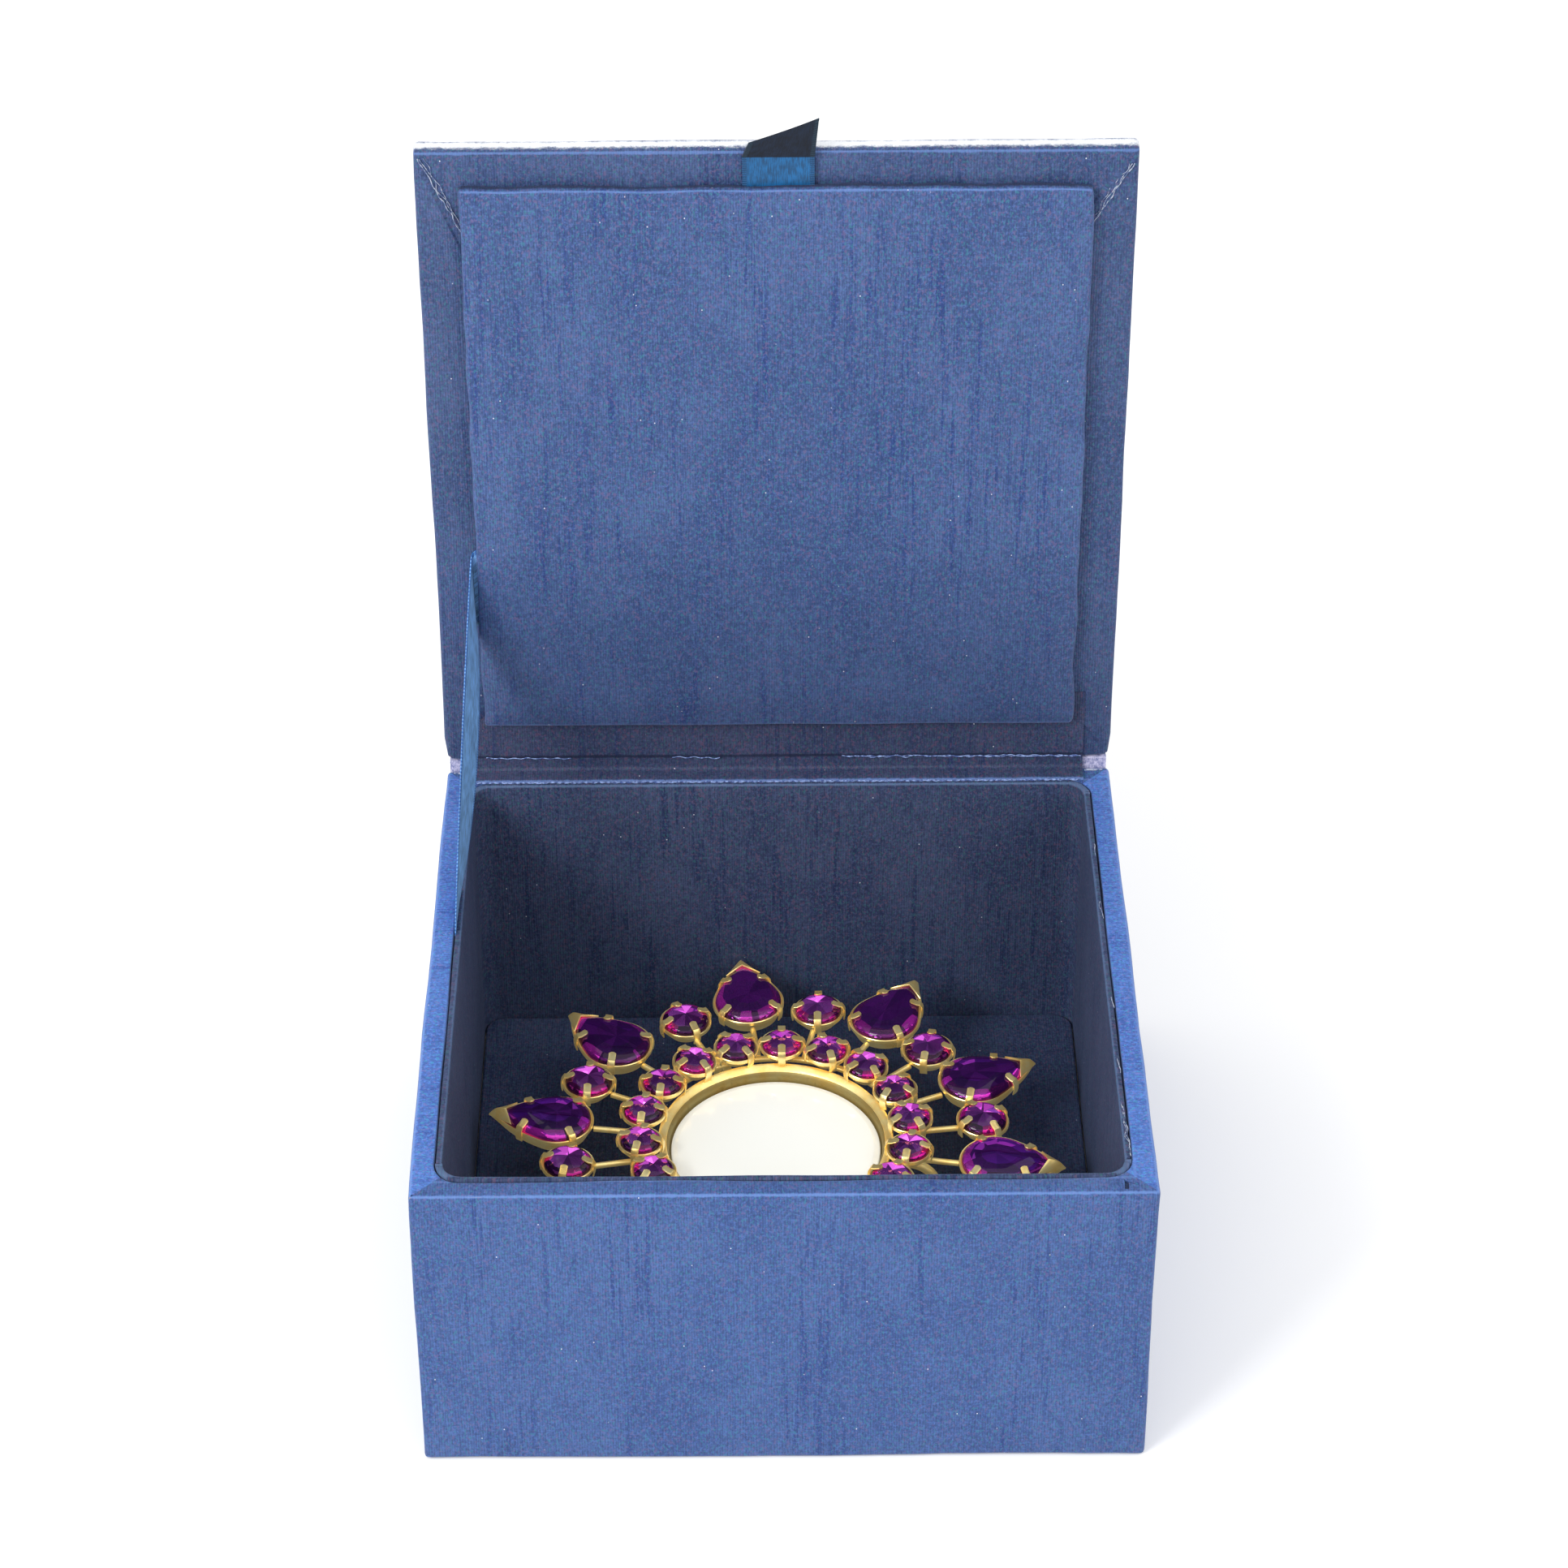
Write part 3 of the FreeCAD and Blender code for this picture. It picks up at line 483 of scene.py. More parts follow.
def silk(name, deep, mid, pale, edge_wear_highlight_shade=(), sheen=0.25, on_grain=True, ribs=0.45, roughness=0.62,
         painted_shade_fade=(1.0, 0.0, 0.0)):
    """Ribbed silk: fine ribs, slubs that run with them, crossing threads and cloudy pale patches.

    The edge lines list the heights along the grain where the cloth goes over an edge or into a crease: each has
    its height, its reach, its strength and its colour; pale lines are painted highlight with some wear, dark
    ones painted shade. The last argument paints shade, darkening the cloth from one height down to another, by
    a share."""
    made = Finish(name, Sheen_Weight=sheen, Sheen_Roughness=0.45, Sheen_Tint=(0.55, 0.65, 1.0),
                  Specular_IOR_Level=0.3)
    grain = made.grain() if on_grain else made.place()
    across = made.part(grain, 0)
    along = made.part(grain, 1)
    wander = made.clouds(grain, (0.5, 0.08), shift=3.0)
    rib = ((across + wander * 0.5) * (2 * math.pi / ribs)).sine() * 0.5 + 0.5
    fibre = made.clouds(grain, (3.2, 0.55), detail=3.0, roughness=0.7)
    slub = made.clouds(grain, (1.25, 0.05), detail=3.0, roughness=0.6, shift=11.0)
    drift = made.clouds(grain, (0.1, 0.02), detail=1.0, shift=17.0).rise(0.42, 0.6)
    speckle = made.clouds(grain, (1.9, 1.6), detail=2.0, roughness=0.8, shift=27.0)
    weft = made.clouds(grain, (0.5, 4.2), detail=2.0, shift=23.0)
    patch = made.clouds(grain, (0.055, 0.035), detail=4.0, roughness=0.6, shift=31.0)
    mottle = made.clouds(grain, (0.55, 0.45), detail=3.0, roughness=0.7, shift=41.0)
    colour = made.mix(patch.rise(0.36, 0.64) * 0.6 + mottle.rise(0.38, 0.62) * 0.4, mid, pale)
    colour = made.mix(slub.rise(0.5, 0.66) * (drift * 0.6 + 0.2), colour, deep)
    colour = made.mix((rib.rise(0.9, 0.15) * 0.25 + fibre.rise(0.62, 0.3) * 0.4).least(1.0), colour,
                      tuple(0.35 * part for part in mid))
    colour = made.mix(speckle.rise(0.5, 0.7) * 0.45, colour, tuple(min(1, 1.5 * part) for part in pale))
    colour = made.mix(speckle.rise(0.48, 0.3) * 0.5, colour, tuple(0.4 * part for part in mid))
    teal = made.clouds(grain, (2.4, 1.3), detail=1.0, shift=57.0).rise(0.54, 0.72)
    plum = made.clouds(grain, (2.1, 1.6), detail=1.0, shift=71.0).rise(0.54, 0.72)
    colour = made.mix(teal * 0.6, colour, (pale[0] * 0.5, pale[1] * 1.5, pale[2] * 0.85))
    colour = made.mix(plum * 0.6, colour, (pale[0] * 1.9, pale[1] * 0.8, pale[2] * 0.75))
    colour = made.mix(weft.rise(0.6, 0.72) * 0.25, colour, tuple(min(1, 1.5 * part) for part in pale))
    # Lines along edges and creases: pale ones are painted highlight with some wear, dark ones painted shade.
    for height, reach, strength, tone in edge_wear_highlight_shade:
        ragged = made.clouds(grain, (0.6, 0.4), detail=4.0, roughness=0.8, shift=height)
        edge = (along - height).size() + (ragged - 0.5) * reach * 1.6
        colour = made.mix(edge.rise(reach, reach * 0.2) * strength, colour, tone)
    lint = made.node("TexVoronoi", {"voronoi_dimensions": "2D"},
                     {"Vector": made.scaled(grain, 0.16, 0.12), "Scale": 1.0})
    chance = made.clouds(grain, (0.11, 0.09), detail=0.0, shift=83.0).rise(0.56, 0.7)
    colour = made.mix(lint.rise(0.022, 0.008) * chance, colour, (0.6, 0.62, 0.7))
    # Painted shade: the cloth darkens from one height down to another.
    if painted_shade_fade[2]:
        colour = made.mix(along.rise(painted_shade_fade[0], painted_shade_fade[1]) * painted_shade_fade[2], colour, PAINTED_SHADE)
    made.set(Base_Color=colour, Roughness=roughness + (fibre - 0.5) * 0.2)
    made.bump(rib * 0.5 + fibre * 0.4 + weft * 0.35 + slub * 0.4 + speckle * 0.6, 0.07, 0.8)
    return made.material


def satin(name, face, edge, low=0.35, width=(0.0, 0.0), sheen=0.05):
    """Narrow satin ribbon, with a row of tiny loops along each woven edge."""
    made = Finish(name, Sheen_Weight=sheen, Specular_IOR_Level=0.35)
    grain = made.grain()
    across, along = made.part(grain, 0), made.part(grain, 1)
    threads = made.clouds(grain, (5.0, 0.4), detail=2.0)
    warp = made.clouds(grain, (0.7, 0.5), detail=3.0, shift=9.0)
    colour = made.mix((threads * 0.6 + warp * 0.4).rise(0.35, 0.65), tuple(0.5 * part for part in face),
                      tuple(1.25 * part for part in face))
    rim = (across - width[0]).size().least((across - width[1]).size())
    loops = (along * (2 * math.pi / 0.55)).sine() * 0.5 + 0.5
    border = rim.rise(0.95, 0.6)
    colour = made.mix(border * (loops * 0.7 + 0.3), colour, edge)
    made.set(Base_Color=colour, Roughness=low + threads * 0.2)
    made.bump(threads * 0.4 + loops * border, 0.08, 0.7)
    return made.material


def board(name, pale, dark):
    """Pressed board or card: a dull fibrous surface."""
    made = Finish(name, Specular_IOR_Level=0.2)
    place = made.place()
    fibre = made.clouds(place, (1.1, 0.35, 1.1), detail=5.0, roughness=0.7)
    fleck = made.clouds(place, (2.5, 2.5, 2.5), detail=2.0, shift=7.0).rise(0.62, 0.7)
    colour = made.mix(fibre, dark, pale)
    colour = made.mix(fleck * 0.5, colour, tuple(0.5 * part for part in dark))
    made.set(Base_Color=colour, Roughness=0.8 + fibre * 0.15)
    made.bump(fibre, 0.12, 0.6)
    return made.material


def raw_backing():
    """The papered back of the silk, frayed and scuffed where it shows at a cut end."""
    made = Finish("papered_back", Roughness=0.85, Specular_IOR_Level=0.2)
    place = made.place()
    scuff = made.clouds(place, (1.3, 1.3, 1.3), detail=5.0, roughness=0.75)
    threads = made.clouds(place, (6.0, 0.8, 0.8), detail=2.0, shift=5.0)
    colour = made.mix(scuff.rise(0.35, 0.65), (0.16, 0.18, 0.36), (0.52, 0.5, 0.68))
    colour = made.mix(threads.rise(0.58, 0.7) * 0.6, colour, (0.75, 0.73, 0.85))
    made.set(Base_Color=colour)
    made.bump(scuff * 0.5 + threads * 0.5, 0.15, 0.8)
    return made.material


def gilt(name, roughness=0.24, brushed=0.5, tone=1.0):
    """Gilt brass: bright, a little uneven, darker where the plating has dulled. It glows faintly in its own
    colour, as painted light; a tone below 1 darkens it and dims the glow, as painted shade.
    """
    # The emission strength is a painted glow, scaled by tone.
    made = Finish(name, Metallic=0.92, Emission_Strength=0.13 * tone)
    place = made.place()
    patch = made.clouds(place, (0.22, 0.22, 0.22), detail=4.0, roughness=0.65)
    grime = made.clouds(place, (0.9, 0.9, 0.9), detail=3.0, shift=13.0).rise(0.58, 0.75)
    colour = made.mix(patch.rise(0.3, 0.7), (1.0, 0.68, 0.2), (1.0, 0.84, 0.38))
    colour = made.mix(grime * 0.15, colour, (0.4, 0.28, 0.08))
    # A tone below 1 paints shade: the colour darkens towards near black.
    colour = made.mix(1.0 - tone, colour, (0.1, 0.075, 0.02))
    lines = made.clouds(place, (2.2, 2.2, 9.0), detail=2.0, shift=19.0)
    # Emission in the gilt's own colour: painted glow.
    made.set(Base_Color=colour, Emission_Color=colour, Roughness=roughness + patch * 0.1 + grime * 0.2)
    made.bump(lines * brushed + patch * 0.5, 0.04, 0.6)
    return made.material


def opal():
    """White opal glass, with the faintest cloud in it, and a painted glow in its own colour."""
    made = Finish("opal_glass", Coat_Weight=0.6, Coat_Roughness=0.02, Roughness=0.12,
                  Emission_Strength=0.18)
    place = made.place()
    cloud = made.clouds(place, (0.04, 0.04, 0.04), detail=2.0)
    colour = made.mix(cloud, (0.93, 0.93, 0.85), (0.96, 0.96, 0.9))
    # Emission in the disc's own colour: painted glow.
    made.set(Base_Color=colour, Emission_Color=colour)
    return made.material


def gem(name, facets, slope, table, tints_and_flashes, glow):
    """A cut stone on purple foil: steep foil facets seen through a smooth glossy dome. Each facet takes a
    random colour between dark foil and a bright painted flash, and the stone has a faint painted glow.

    The grain gives each point's place in its own stone, as shares of the stone's radius, and the
    stone's own number, which turns its facets and shifts their colours and painted flashes."""
    made = Finish(name, Coat_Weight=0.6, Coat_Roughness=0.015, Coat_IOR=1.5, Roughness=0.06,
                  Emission_Strength=glow)
    grain = made.grain()
    number = made.node("Attribute", {"attribute_type": "GEOMETRY", "attribute_name": "stone"}, out=2)
    x, y = made.part(grain, 0), made.part(grain, 1)
    angle = made.node("Math", {"operation": "ARCTAN2"}, {0: y, 1: x}) + number * 0.37
    reach = (x * x + y * y).power(0.5)
    sector = 2 * math.pi / facets
    fan = angle / sector
    bend = ((fan - fan.floor()) - 0.5) * sector
    lower = reach * bend.cosine()
    fan_between = fan + 0.5
    bend_between = ((fan_between - fan_between.floor()) - 0.5) * sector
    upper = reach * bend_between.cosine()
    height = (lower - table).most(0.0) * slope
    height = height.most((upper - 0.72) * (slope * 2.1))
    pick = made.node("TexWhiteNoise", {"noise_dimensions": "2D"}, {
        "Vector": made.node("CombineXYZ", None, {0: fan.floor() + number * 7.0, 1: number})})
    pick_between = made.node("TexWhiteNoise", {"noise_dimensions": "2D"}, {
        "Vector": made.node("CombineXYZ", None, {0: fan_between.floor() + 40.0 + number * 3.0, 1: number})})
    ring = (upper - 0.72).rise(0.0, 0.02)
    # Each facet takes a random colour between dark foil and a bright painted flash.
    inner = made.mix(pick, tints_and_flashes[0], tints_and_flashes[1])
    outer = made.mix(pick_between.rise(0.35, 0.75), tints_and_flashes[2], tints_and_flashes[3])
    colour = made.mix(ring, inner, outer)
    colour = made.mix(reach.rise(0.9, 1.0) * 0.6, colour, (0.05, 0.005, 0.06))
    # The emission, mixed from the facet colour, is a painted glow.
    made.set(Base_Color=colour, Metallic=0.88 - ring * 0.1,
             Emission_Color=made.mix(0.5, colour, tints_and_flashes[0]))
    made.set(Normal=made.node("Bump", None, {"Strength": 1.0, "Distance": MM * 4.0, "Height": height}))
    return made.material


# Colours for painted light on the silk: a pale blue for painted highlight with some wear along edges, a white
# for painted glare on the lid's top edge, and a near black for painted shade.
WEAR_AND_HIGHLIGHT_BLUE, GLARE_WHITE, PAINTED_SHADE = (0.13, 0.24, 0.56), (0.8, 0.82, 0.84), (0.004, 0.008, 0.03)
SILK_DEEP, SILK_MID, SILK_PALE = (0.007, 0.035, 0.19), (0.028, 0.07, 0.235), (0.056, 0.114, 0.305)
# Along the rim's outer and inner edges: lines of painted highlight with some wear.
RIM_EDGES = ((RIM_Z + 0.1, 0.55, 0.6, WEAR_AND_HIGHLIGHT_BLUE), (RIM_Z + RIM_WIDTH, 0.4, 0.3, WEAR_AND_HIGHLIGHT_BLUE))
# Under the lid's top edge, a pale line of painted highlight with some wear; over the edge itself, painted glare
# in white.
LID_EDGES = ((LID_LENGTH - 0.5, 0.45, 0.45, WEAR_AND_HIGHLIGHT_BLUE), (LID_LENGTH + 2.3, 1.9, 0.97, GLARE_WHITE))
# On the panel's top side, painted shade; along its top and bottom edges, pale lines of painted highlight with
# some wear.
PANEL_EDGES = ((PANEL_HIGH + 1.7, 1.2, 0.85, PAINTED_SHADE), (PANEL_HIGH - 0.1, 0.5, 0.5, WEAR_AND_HIGHLIGHT_BLUE),
               (PANEL_LOW + 0.3, 0.5, 0.3, WEAR_AND_HIGHLIGHT_BLUE))
TRAY_SILK = silk("tray_silk", SILK_DEEP, SILK_MID, SILK_PALE, edge_wear_highlight_shade=RIM_EDGES)
# A lighter, more vivid copy of the tray silk: painted light on the side rims' upward faces, which catch the
# lamps.
SIDE_RIM_LIT_SILK = silk("side_rim_painted_light_silk", (0.02, 0.07, 0.33), (0.045, 0.115, 0.42), (0.08, 0.19, 0.55),
                     edge_wear_highlight_shade=RIM_EDGES)
# A near-black silk for the sunken corner fold: painted shadow.
FOLD_SHADOW_SILK = silk("silk_fold_painted_shadow", (0.004, 0.01, 0.05), (0.01, 0.02, 0.07), (0.02, 0.035, 0.1), sheen=0.0)
UNDER_SILK = silk("underside_silk", SILK_DEEP, SILK_MID, SILK_PALE, on_grain=False)
LID_OUTER_SILK = silk("lid_outer_silk", SILK_DEEP, SILK_MID, SILK_PALE)
# The lid and panel silks darken towards the hinge: painted shade.
LID_SILK = silk("lid_silk", (0.006, 0.027, 0.125), (0.024, 0.052, 0.155), (0.055, 0.09, 0.215),
                edge_wear_highlight_shade=LID_EDGES, painted_shade_fade=(40.0, 0.0, 0.3))
PANEL_SILK = silk("panel_silk", (0.006, 0.032, 0.185), (0.03, 0.066, 0.2), (0.066, 0.116, 0.285),
                  edge_wear_highlight_shade=PANEL_EDGES, painted_shade_fade=(62.0, 5.0, 0.34))
# The lining silk is darker and duller than the outer silk: partly a duller lining cloth, partly painted shade
# of the box's inside; its pale line at the rim is painted highlight with some wear.
LINING_SILK = silk("lining_silk", (0.005, 0.02, 0.085), (0.023, 0.038, 0.105), (0.054, 0.076, 0.16),
                   edge_wear_highlight_shade=((RIM_Z, 0.5, 0.4, (0.12, 0.2, 0.36)),), sheen=0.04, roughness=0.8)
# The hinge silk is dark like the lining, partly painted shade; a pale line of painted highlight with some wear
# runs at the rim's edge, and a line of painted shade lies in the crease.
HINGE_SILK = silk("hinge_silk", (0.01, 0.025, 0.1), (0.023, 0.038, 0.1), (0.05, 0.06, 0.13), sheen=0.1,
                  edge_wear_highlight_shade=((TURN_IN, 0.5, 0.55, WEAR_AND_HIGHLIGHT_BLUE), (TURN_IN + 6.6, 0.5, 0.8, PAINTED_SHADE)))
BACKING = raw_backing()
GREYBOARD = board("greyboard", (0.42, 0.4, 0.36), (0.28, 0.26, 0.23))
KRAFT = board("kraft_paper", (0.5, 0.36, 0.2), (0.38, 0.26, 0.14))
GOLD = gilt("gilt_cups", 0.24)
PAN_GOLD = gilt("gilt_pan", 0.34, brushed=1.0)
# The pan's inner wall: a darker gilt with a fainter glow, as painted shade.
PAN_SHADED = gilt("gilt_pan_painted_shade", 0.5, tone=0.3)
WIRE_GOLD = gilt("gilt_wire", 0.38)
OPAL = opal()
# Stone colours: dark purple foil, and bright pink and magenta painted flashes; the last number is a painted
# glow.
ROUND_GEM = gem("round_gem", 9, 0.95, 0.0, ((0.24, 0.005, 0.26), (1.0, 0.18, 1.0),
                                            (0.04, 0.0, 0.05), (0.95, 0.01, 0.4)), 0.02)
PEAR_GEM = gem("pear_gem", 10, 0.8, 0.42, ((0.1, 0.005, 0.18), (0.26, 0.02, 0.36),
                                           (0.1, 0.003, 0.11), (1.0, 0.05, 0.75)), 0.02)


def dress(piece, *materials):
    """Give a piece its materials, in the order that its faces number them."""
    for material in materials:
        piece.data.materials.append(material)


def finish_piece(piece, body, slot, *materials):
    """Give a finished piece its material and the body it rides on; the slot is not used."""
    dress(piece, *materials)
    if body:
        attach(piece, body)
    return piece


def finish_cad(node, material):
    """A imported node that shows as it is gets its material."""
    data = frame["nodes"][node].data
    data.materials.clear()
    data.materials.append(material)


# --- the tray ----------------------------------------------------------------------------------

def from_edge(place):
    """How far in from the tray's outside a place is."""
    return min(HALF_X - abs(place.x), HALF_Y - abs(place.y))


def upright(a, b):
    return abs(a.z - b.z) > 1 and (a - b).xy.length < 0.01


def level(a, b, height):
    return abs(a.z - height) < 0.01 and abs(b.z - height) < 0.01


def tray_grain(place, middle, normal):
    """Ribs run up the walls, over the rim and down inside it, on all four sides."""
    on_side = HALF_X - abs(middle.x) < HALF_Y - abs(middle.y)
    across = place.y if on_side else place.x
    wall = (300 if middle.x > 0 else 600) if on_side else (900 if middle.y > 0 else 0)
    inward = HALF_X - abs(place.x) if on_side else HALF_Y - abs(place.y)
    if middle.z < 1 and normal.z < -0.3:
        along = place.z - inward
    elif normal.xy.length > 0.7 and normal.xy.dot(middle.xy) < 0:
        along = 2 * RIM_Z - place.z + inward
    else:
        along = place.z + inward
    return across + wall, along


def corner_fold(work):
    """The pointed fold where the two cloths meet on the rim's front right corner."""
    point = Vector((60.9, -60.4, RIM_Z))
    inner, outer = Vector((56.6, -58.1, RIM_Z)), Vector((56.6, -59.8, RIM_Z))

    def near(middle, normal):
        return normal.z > 0.9 and middle.x > 54 and middle.y < -57 and middle.z > RIM_Z - 0.2

    for place, along in ((point, inner - point), (point, outer - point), (inner, Vector((0, 1, 0)))):
        work.faces(near)
        work.cut(place, (along.y, -along.x, 0))

    def inside(middle, normal):
        if not near(middle, normal) or not inner.x < middle.x < point.x:
            return False
        share = (point.x - middle.x) / (point.x - inner.x)
        return point.y + (outer.y - point.y) * share < middle.y < point.y + (inner.y - point.y) * share

    work.faces(inside)
    work.extrude(z=-0.3)
    # The sunken faces take the near-black fold silk: painted shadow in the fold.
    bpy.context.object.active_material_index = 1
    bpy.ops.object.material_slot_assign()


def tray_cover():
    """One cloth up the four walls, over the rim, down inside it and turned in underneath."""
    piece = block("tray_cover", (-HALF_X, -HALF_Y, 0), (HALF_X, HALF_Y, RIM_Z))
    dress(piece, TRAY_SILK, FOLD_SHADOW_SILK, SIDE_RIM_LIT_SILK)
    with shaping(piece) as work:
        work.faces(lambda middle, normal: normal.z > 0.9)
        work.inset(RIM_WIDTH)
        work.extrude(z=-TURN_IN)
        work.remove()
        work.faces(lambda middle, normal: normal.z < -0.9)
        work.inset(UNDERSIDE_MARGIN)
        work.remove()
        work.edges(lambda a, b: upright(a, b) and from_edge(a) > 1)
        work.bevel(CORNER_BEND + 1.35, 6)
        work.edges(lambda a, b: level(a, b, RIM_Z) and min(from_edge(a), from_edge(b)) > 3)
        work.bevel(0.5)
        work.edges(lambda a, b: max(from_edge(a), from_edge(b)) < 0.5 and (
            upright(a, b) or level(a, b, RIM_Z) or level(a, b, 0)))
        work.bevel(0.75)
        work.slice_all(0, -HALF_X, HALF_X, COVER_PITCH)
        work.slice_all(1, -HALF_Y, HALF_Y, COVER_PITCH)
        work.slice_all(2, 0, RIM_Z, COVER_PITCH)
        corner_fold(work)
        work.tidy()
    # Upward faces on the side rims get the lighter side-rim silk: painted light.
    for face in piece.data.polygons:
        middle = face.center / MM
        on_side = HALF_X - abs(middle.x) < HALF_Y - abs(middle.y)
        if on_side and face.normal.z > 0.6 and middle.z > RIM_Z - 1:
            face.material_index = 2
    ripple(piece, 0.28, 26, 1)
    ripple(piece, 0.1, 6, 2)
    lay_grain(piece, tray_grain)
    thicken(piece)
    smooth(piece)
    finish_piece(piece, "tray", "outer_silk")
    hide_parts("tray_cover_cloth")
    reach = RIM_Z + RIM_WIDTH + TURN_IN + UNDERSIDE_MARGIN
    area = 4 * (HALF_X + HALF_Y) * reach
    width, length = 2 * (HALF_X + reach), 2 * (HALF_Y + reach)
    width * MM
    length * MM
    area * MM * MM


def wrap_end(work, side_x, side_y):
    """Bend a front or rear liner's end round the corner of the mouth."""
    end_x, end_y = side_x * (MOUTH_X - CORNER_BEND), side_y * (MOUTH_Y - CORNER_BEND)
    work.faces(lambda middle, normal: abs(middle.x - end_x) < 0.01)
    work.remove("ONLY_FACE")
    work.edges(lambda a, b: abs(a.x - end_x) < 0.01 and abs(b.x - end_x) < 0.01)
    bpy.ops.mesh.spin(steps=6, angle=side_x * side_y * math.pi / 2, axis=(0, 0, 1),
                      center=Vector((end_x, end_y, 0)) * MM)
    bpy.ops.mesh.edge_face_add()


def liner(name, node, side_x, side_y):
    """A cloth-covered card against one wall; the front and rear ones wrap round the corners."""
    thickness = LINER_THICK - CREASE
    if side_x:
        near, far = MOUTH_X, MOUTH_X + thickness
        half = MOUTH_Y - CORNER_BEND
        piece = block(name, (min(side_x * near, side_x * far), -half, BOARD_LOW),
                      (max(side_x * near, side_x * far), half, RIM_Z))
    else:
        near, far = MOUTH_Y, MOUTH_Y + thickness
        half = MOUTH_X - CORNER_BEND
        piece = block(name, (-half, min(side_y * near, side_y * far), BOARD_LOW),
                      (half, max(side_y * near, side_y * far), RIM_Z))
    with shaping(piece) as work:
        if side_y:
            wrap_end(work, 1, side_y)
            wrap_end(work, -1, side_y)
        work.tidy()
        work.edges(lambda a, b: level(a, b, RIM_Z) and
                   abs((a - b).x if side_y else (a - b).y) > 0.3)
        work.bevel(0.38)
        work.slice_all(0 if side_y else 1, -half, half, LINING_PITCH)
        work.slice_all(2, BOARD_LOW, RIM_Z, LINING_PITCH)
        work.tidy()
    ripple(piece, 0.14, 18, 5 + side_x + 3 * side_y)

    def grain(place, middle, normal):
        if side_x:
            return place.y + 400 * side_x, place.z + abs(place.x) - MOUTH_X
        bend = max(0, abs(place.x) - (MOUTH_X - CORNER_BEND))
        across = place.x + math.copysign(bend * 0.57, place.x) + 800 * side_y
        return across, place.z + max(0, abs(place.y) - MOUTH_Y)

    lay_grain(piece, grain)
    smooth(piece)
    finish_piece(piece, "tray", "lining_silk", LINING_SILK)
    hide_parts(node, node.replace("cloth", "card"))
    height = RIM_Z - BOARD_LOW
    (height + 2 * thickness) * MM


def floor_pad():
    """The cloth-covered card in the bottom, with its corners rounded to the lining."""
    half_x, half_y = MOUTH_X - 0.2, MOUTH_Y - 0.2
    piece = block("floor_pad", (-half_x, -half_y, BOARD_LOW), (half_x, half_y, FLOOR_TOP))
    with shaping(piece) as work:
        work.edges(upright)
        work.bevel(CORNER_BEND, 5)
        work.edges(lambda a, b: level(a, b, FLOOR_TOP))
        work.bevel(0.5)
        work.slice_all(0, -half_x, half_x, LINING_PITCH)
        work.slice_all(1, -half_y, half_y, LINING_PITCH)
        work.tidy()
    ripple(piece, 0.08, 20, 9, along=Vector((0, 0, 1)))
    lay_grain(piece, lambda place, middle, normal: (place.x + 1500, place.y))
    smooth(piece)
    finish_piece(piece, "tray", "lining_silk", LINING_SILK)
    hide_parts("floor_pad_cloth", "floor_pad_card")


# --- the lid -----------------------------------------------------------------------------------

def lid_grain(place, middle, normal):
    """Ribs run up the lid, on both faces and round its edges."""
    side = math.copysign(1, middle.x)
    across = place.x + side * (-place.z if abs(normal.x) > 0.5 else 0)
    along = place.y + (-place.z if abs(normal.y) > 0.5 else 0)
    return across + (2500 if middle.z < -1 else 2000), along


def mitre(work, side, end, foot_y):
    """A side turn-in's slanting end, which laps over the turn-in along the top or bottom."""
    corner = Vector((side * LID_X, end, 0))
    along = Vector((side * MITRE_INNER_X, foot_y, 0)) - corner
    across = Vector((along.y, -along.x, 0)).normalized()
    if across.y * (foot_y - end) < 0:
        across.negate()

    def on_turn_in(middle, normal):
        return (normal.z > 0.9 and middle.z > -0.1 and middle.x * side > MITRE_FROM_X
                and abs(middle.y - end) < MITRE_REACH)

    for gap in (0, 0.35):
        work.faces(on_turn_in)
        work.cut(corner + across * gap, across)

    def past(place):
        return ((place - corner).dot(across) > 0.2 and place.z > -0.1 and place.x * side > MITRE_FROM_X
                and 1 < abs(place.y - end) < LAP_REACH and LID_X - abs(place.x) > 1)

    work.verts(past)
    work.move(z=0.3)


def lid_cover():
    """The cloth glued over the lid's outer face and turned in over the edges of its inner one."""
    piece = block("lid_cover", (-LID_X, 0, -LID_THICK), (LID_X, LID_LENGTH, 0))
    dress(piece, LID_SILK, LID_OUTER_SILK)

    def at_rim(a, b):
        return min(LID_X - abs((a + b).x / 2), (a + b).y / 2, LID_LENGTH - (a + b).y / 2) < 1

    with shaping(piece) as work:
        work.faces(lambda middle, normal: normal.z > 0.9)
        work.inset(TURN_IN)
        work.remove()
        work.edges(lambda a, b: at_rim(a, b) and (
            upright(a, b) or level(a, b, 0) or level(a, b, -LID_THICK)))
        work.bevel(0.75)
        work.slice_all(0, -LID_X, LID_X, COVER_PITCH)
        work.slice_all(1, 0, LID_LENGTH, COVER_PITCH)
        for side, end, foot_y in ((1, LID_LENGTH, 116.0), (-1, LID_LENGTH, 107.0), (1, 0, 11.0), (-1, 0, 11.0)):
            mitre(work, side, end, foot_y)
        work.tidy()
    for face in piece.data.polygons:
        outside = face.center.z / MM < -0.8 and face.normal.y < 0.5
        face.material_index = 1 if outside else 0
    ripple(piece, 0.3, 24, 11)
    ripple(piece, 0.1, 5, 12)
    round_corners(piece, LID_CORNER)
    lay_grain(piece, lid_grain)
    thicken(piece)
    smooth(piece)
    stand_on_lid(piece)
    finish_piece(piece, "lid", "outer_silk")
    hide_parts("lid_cover_cloth")


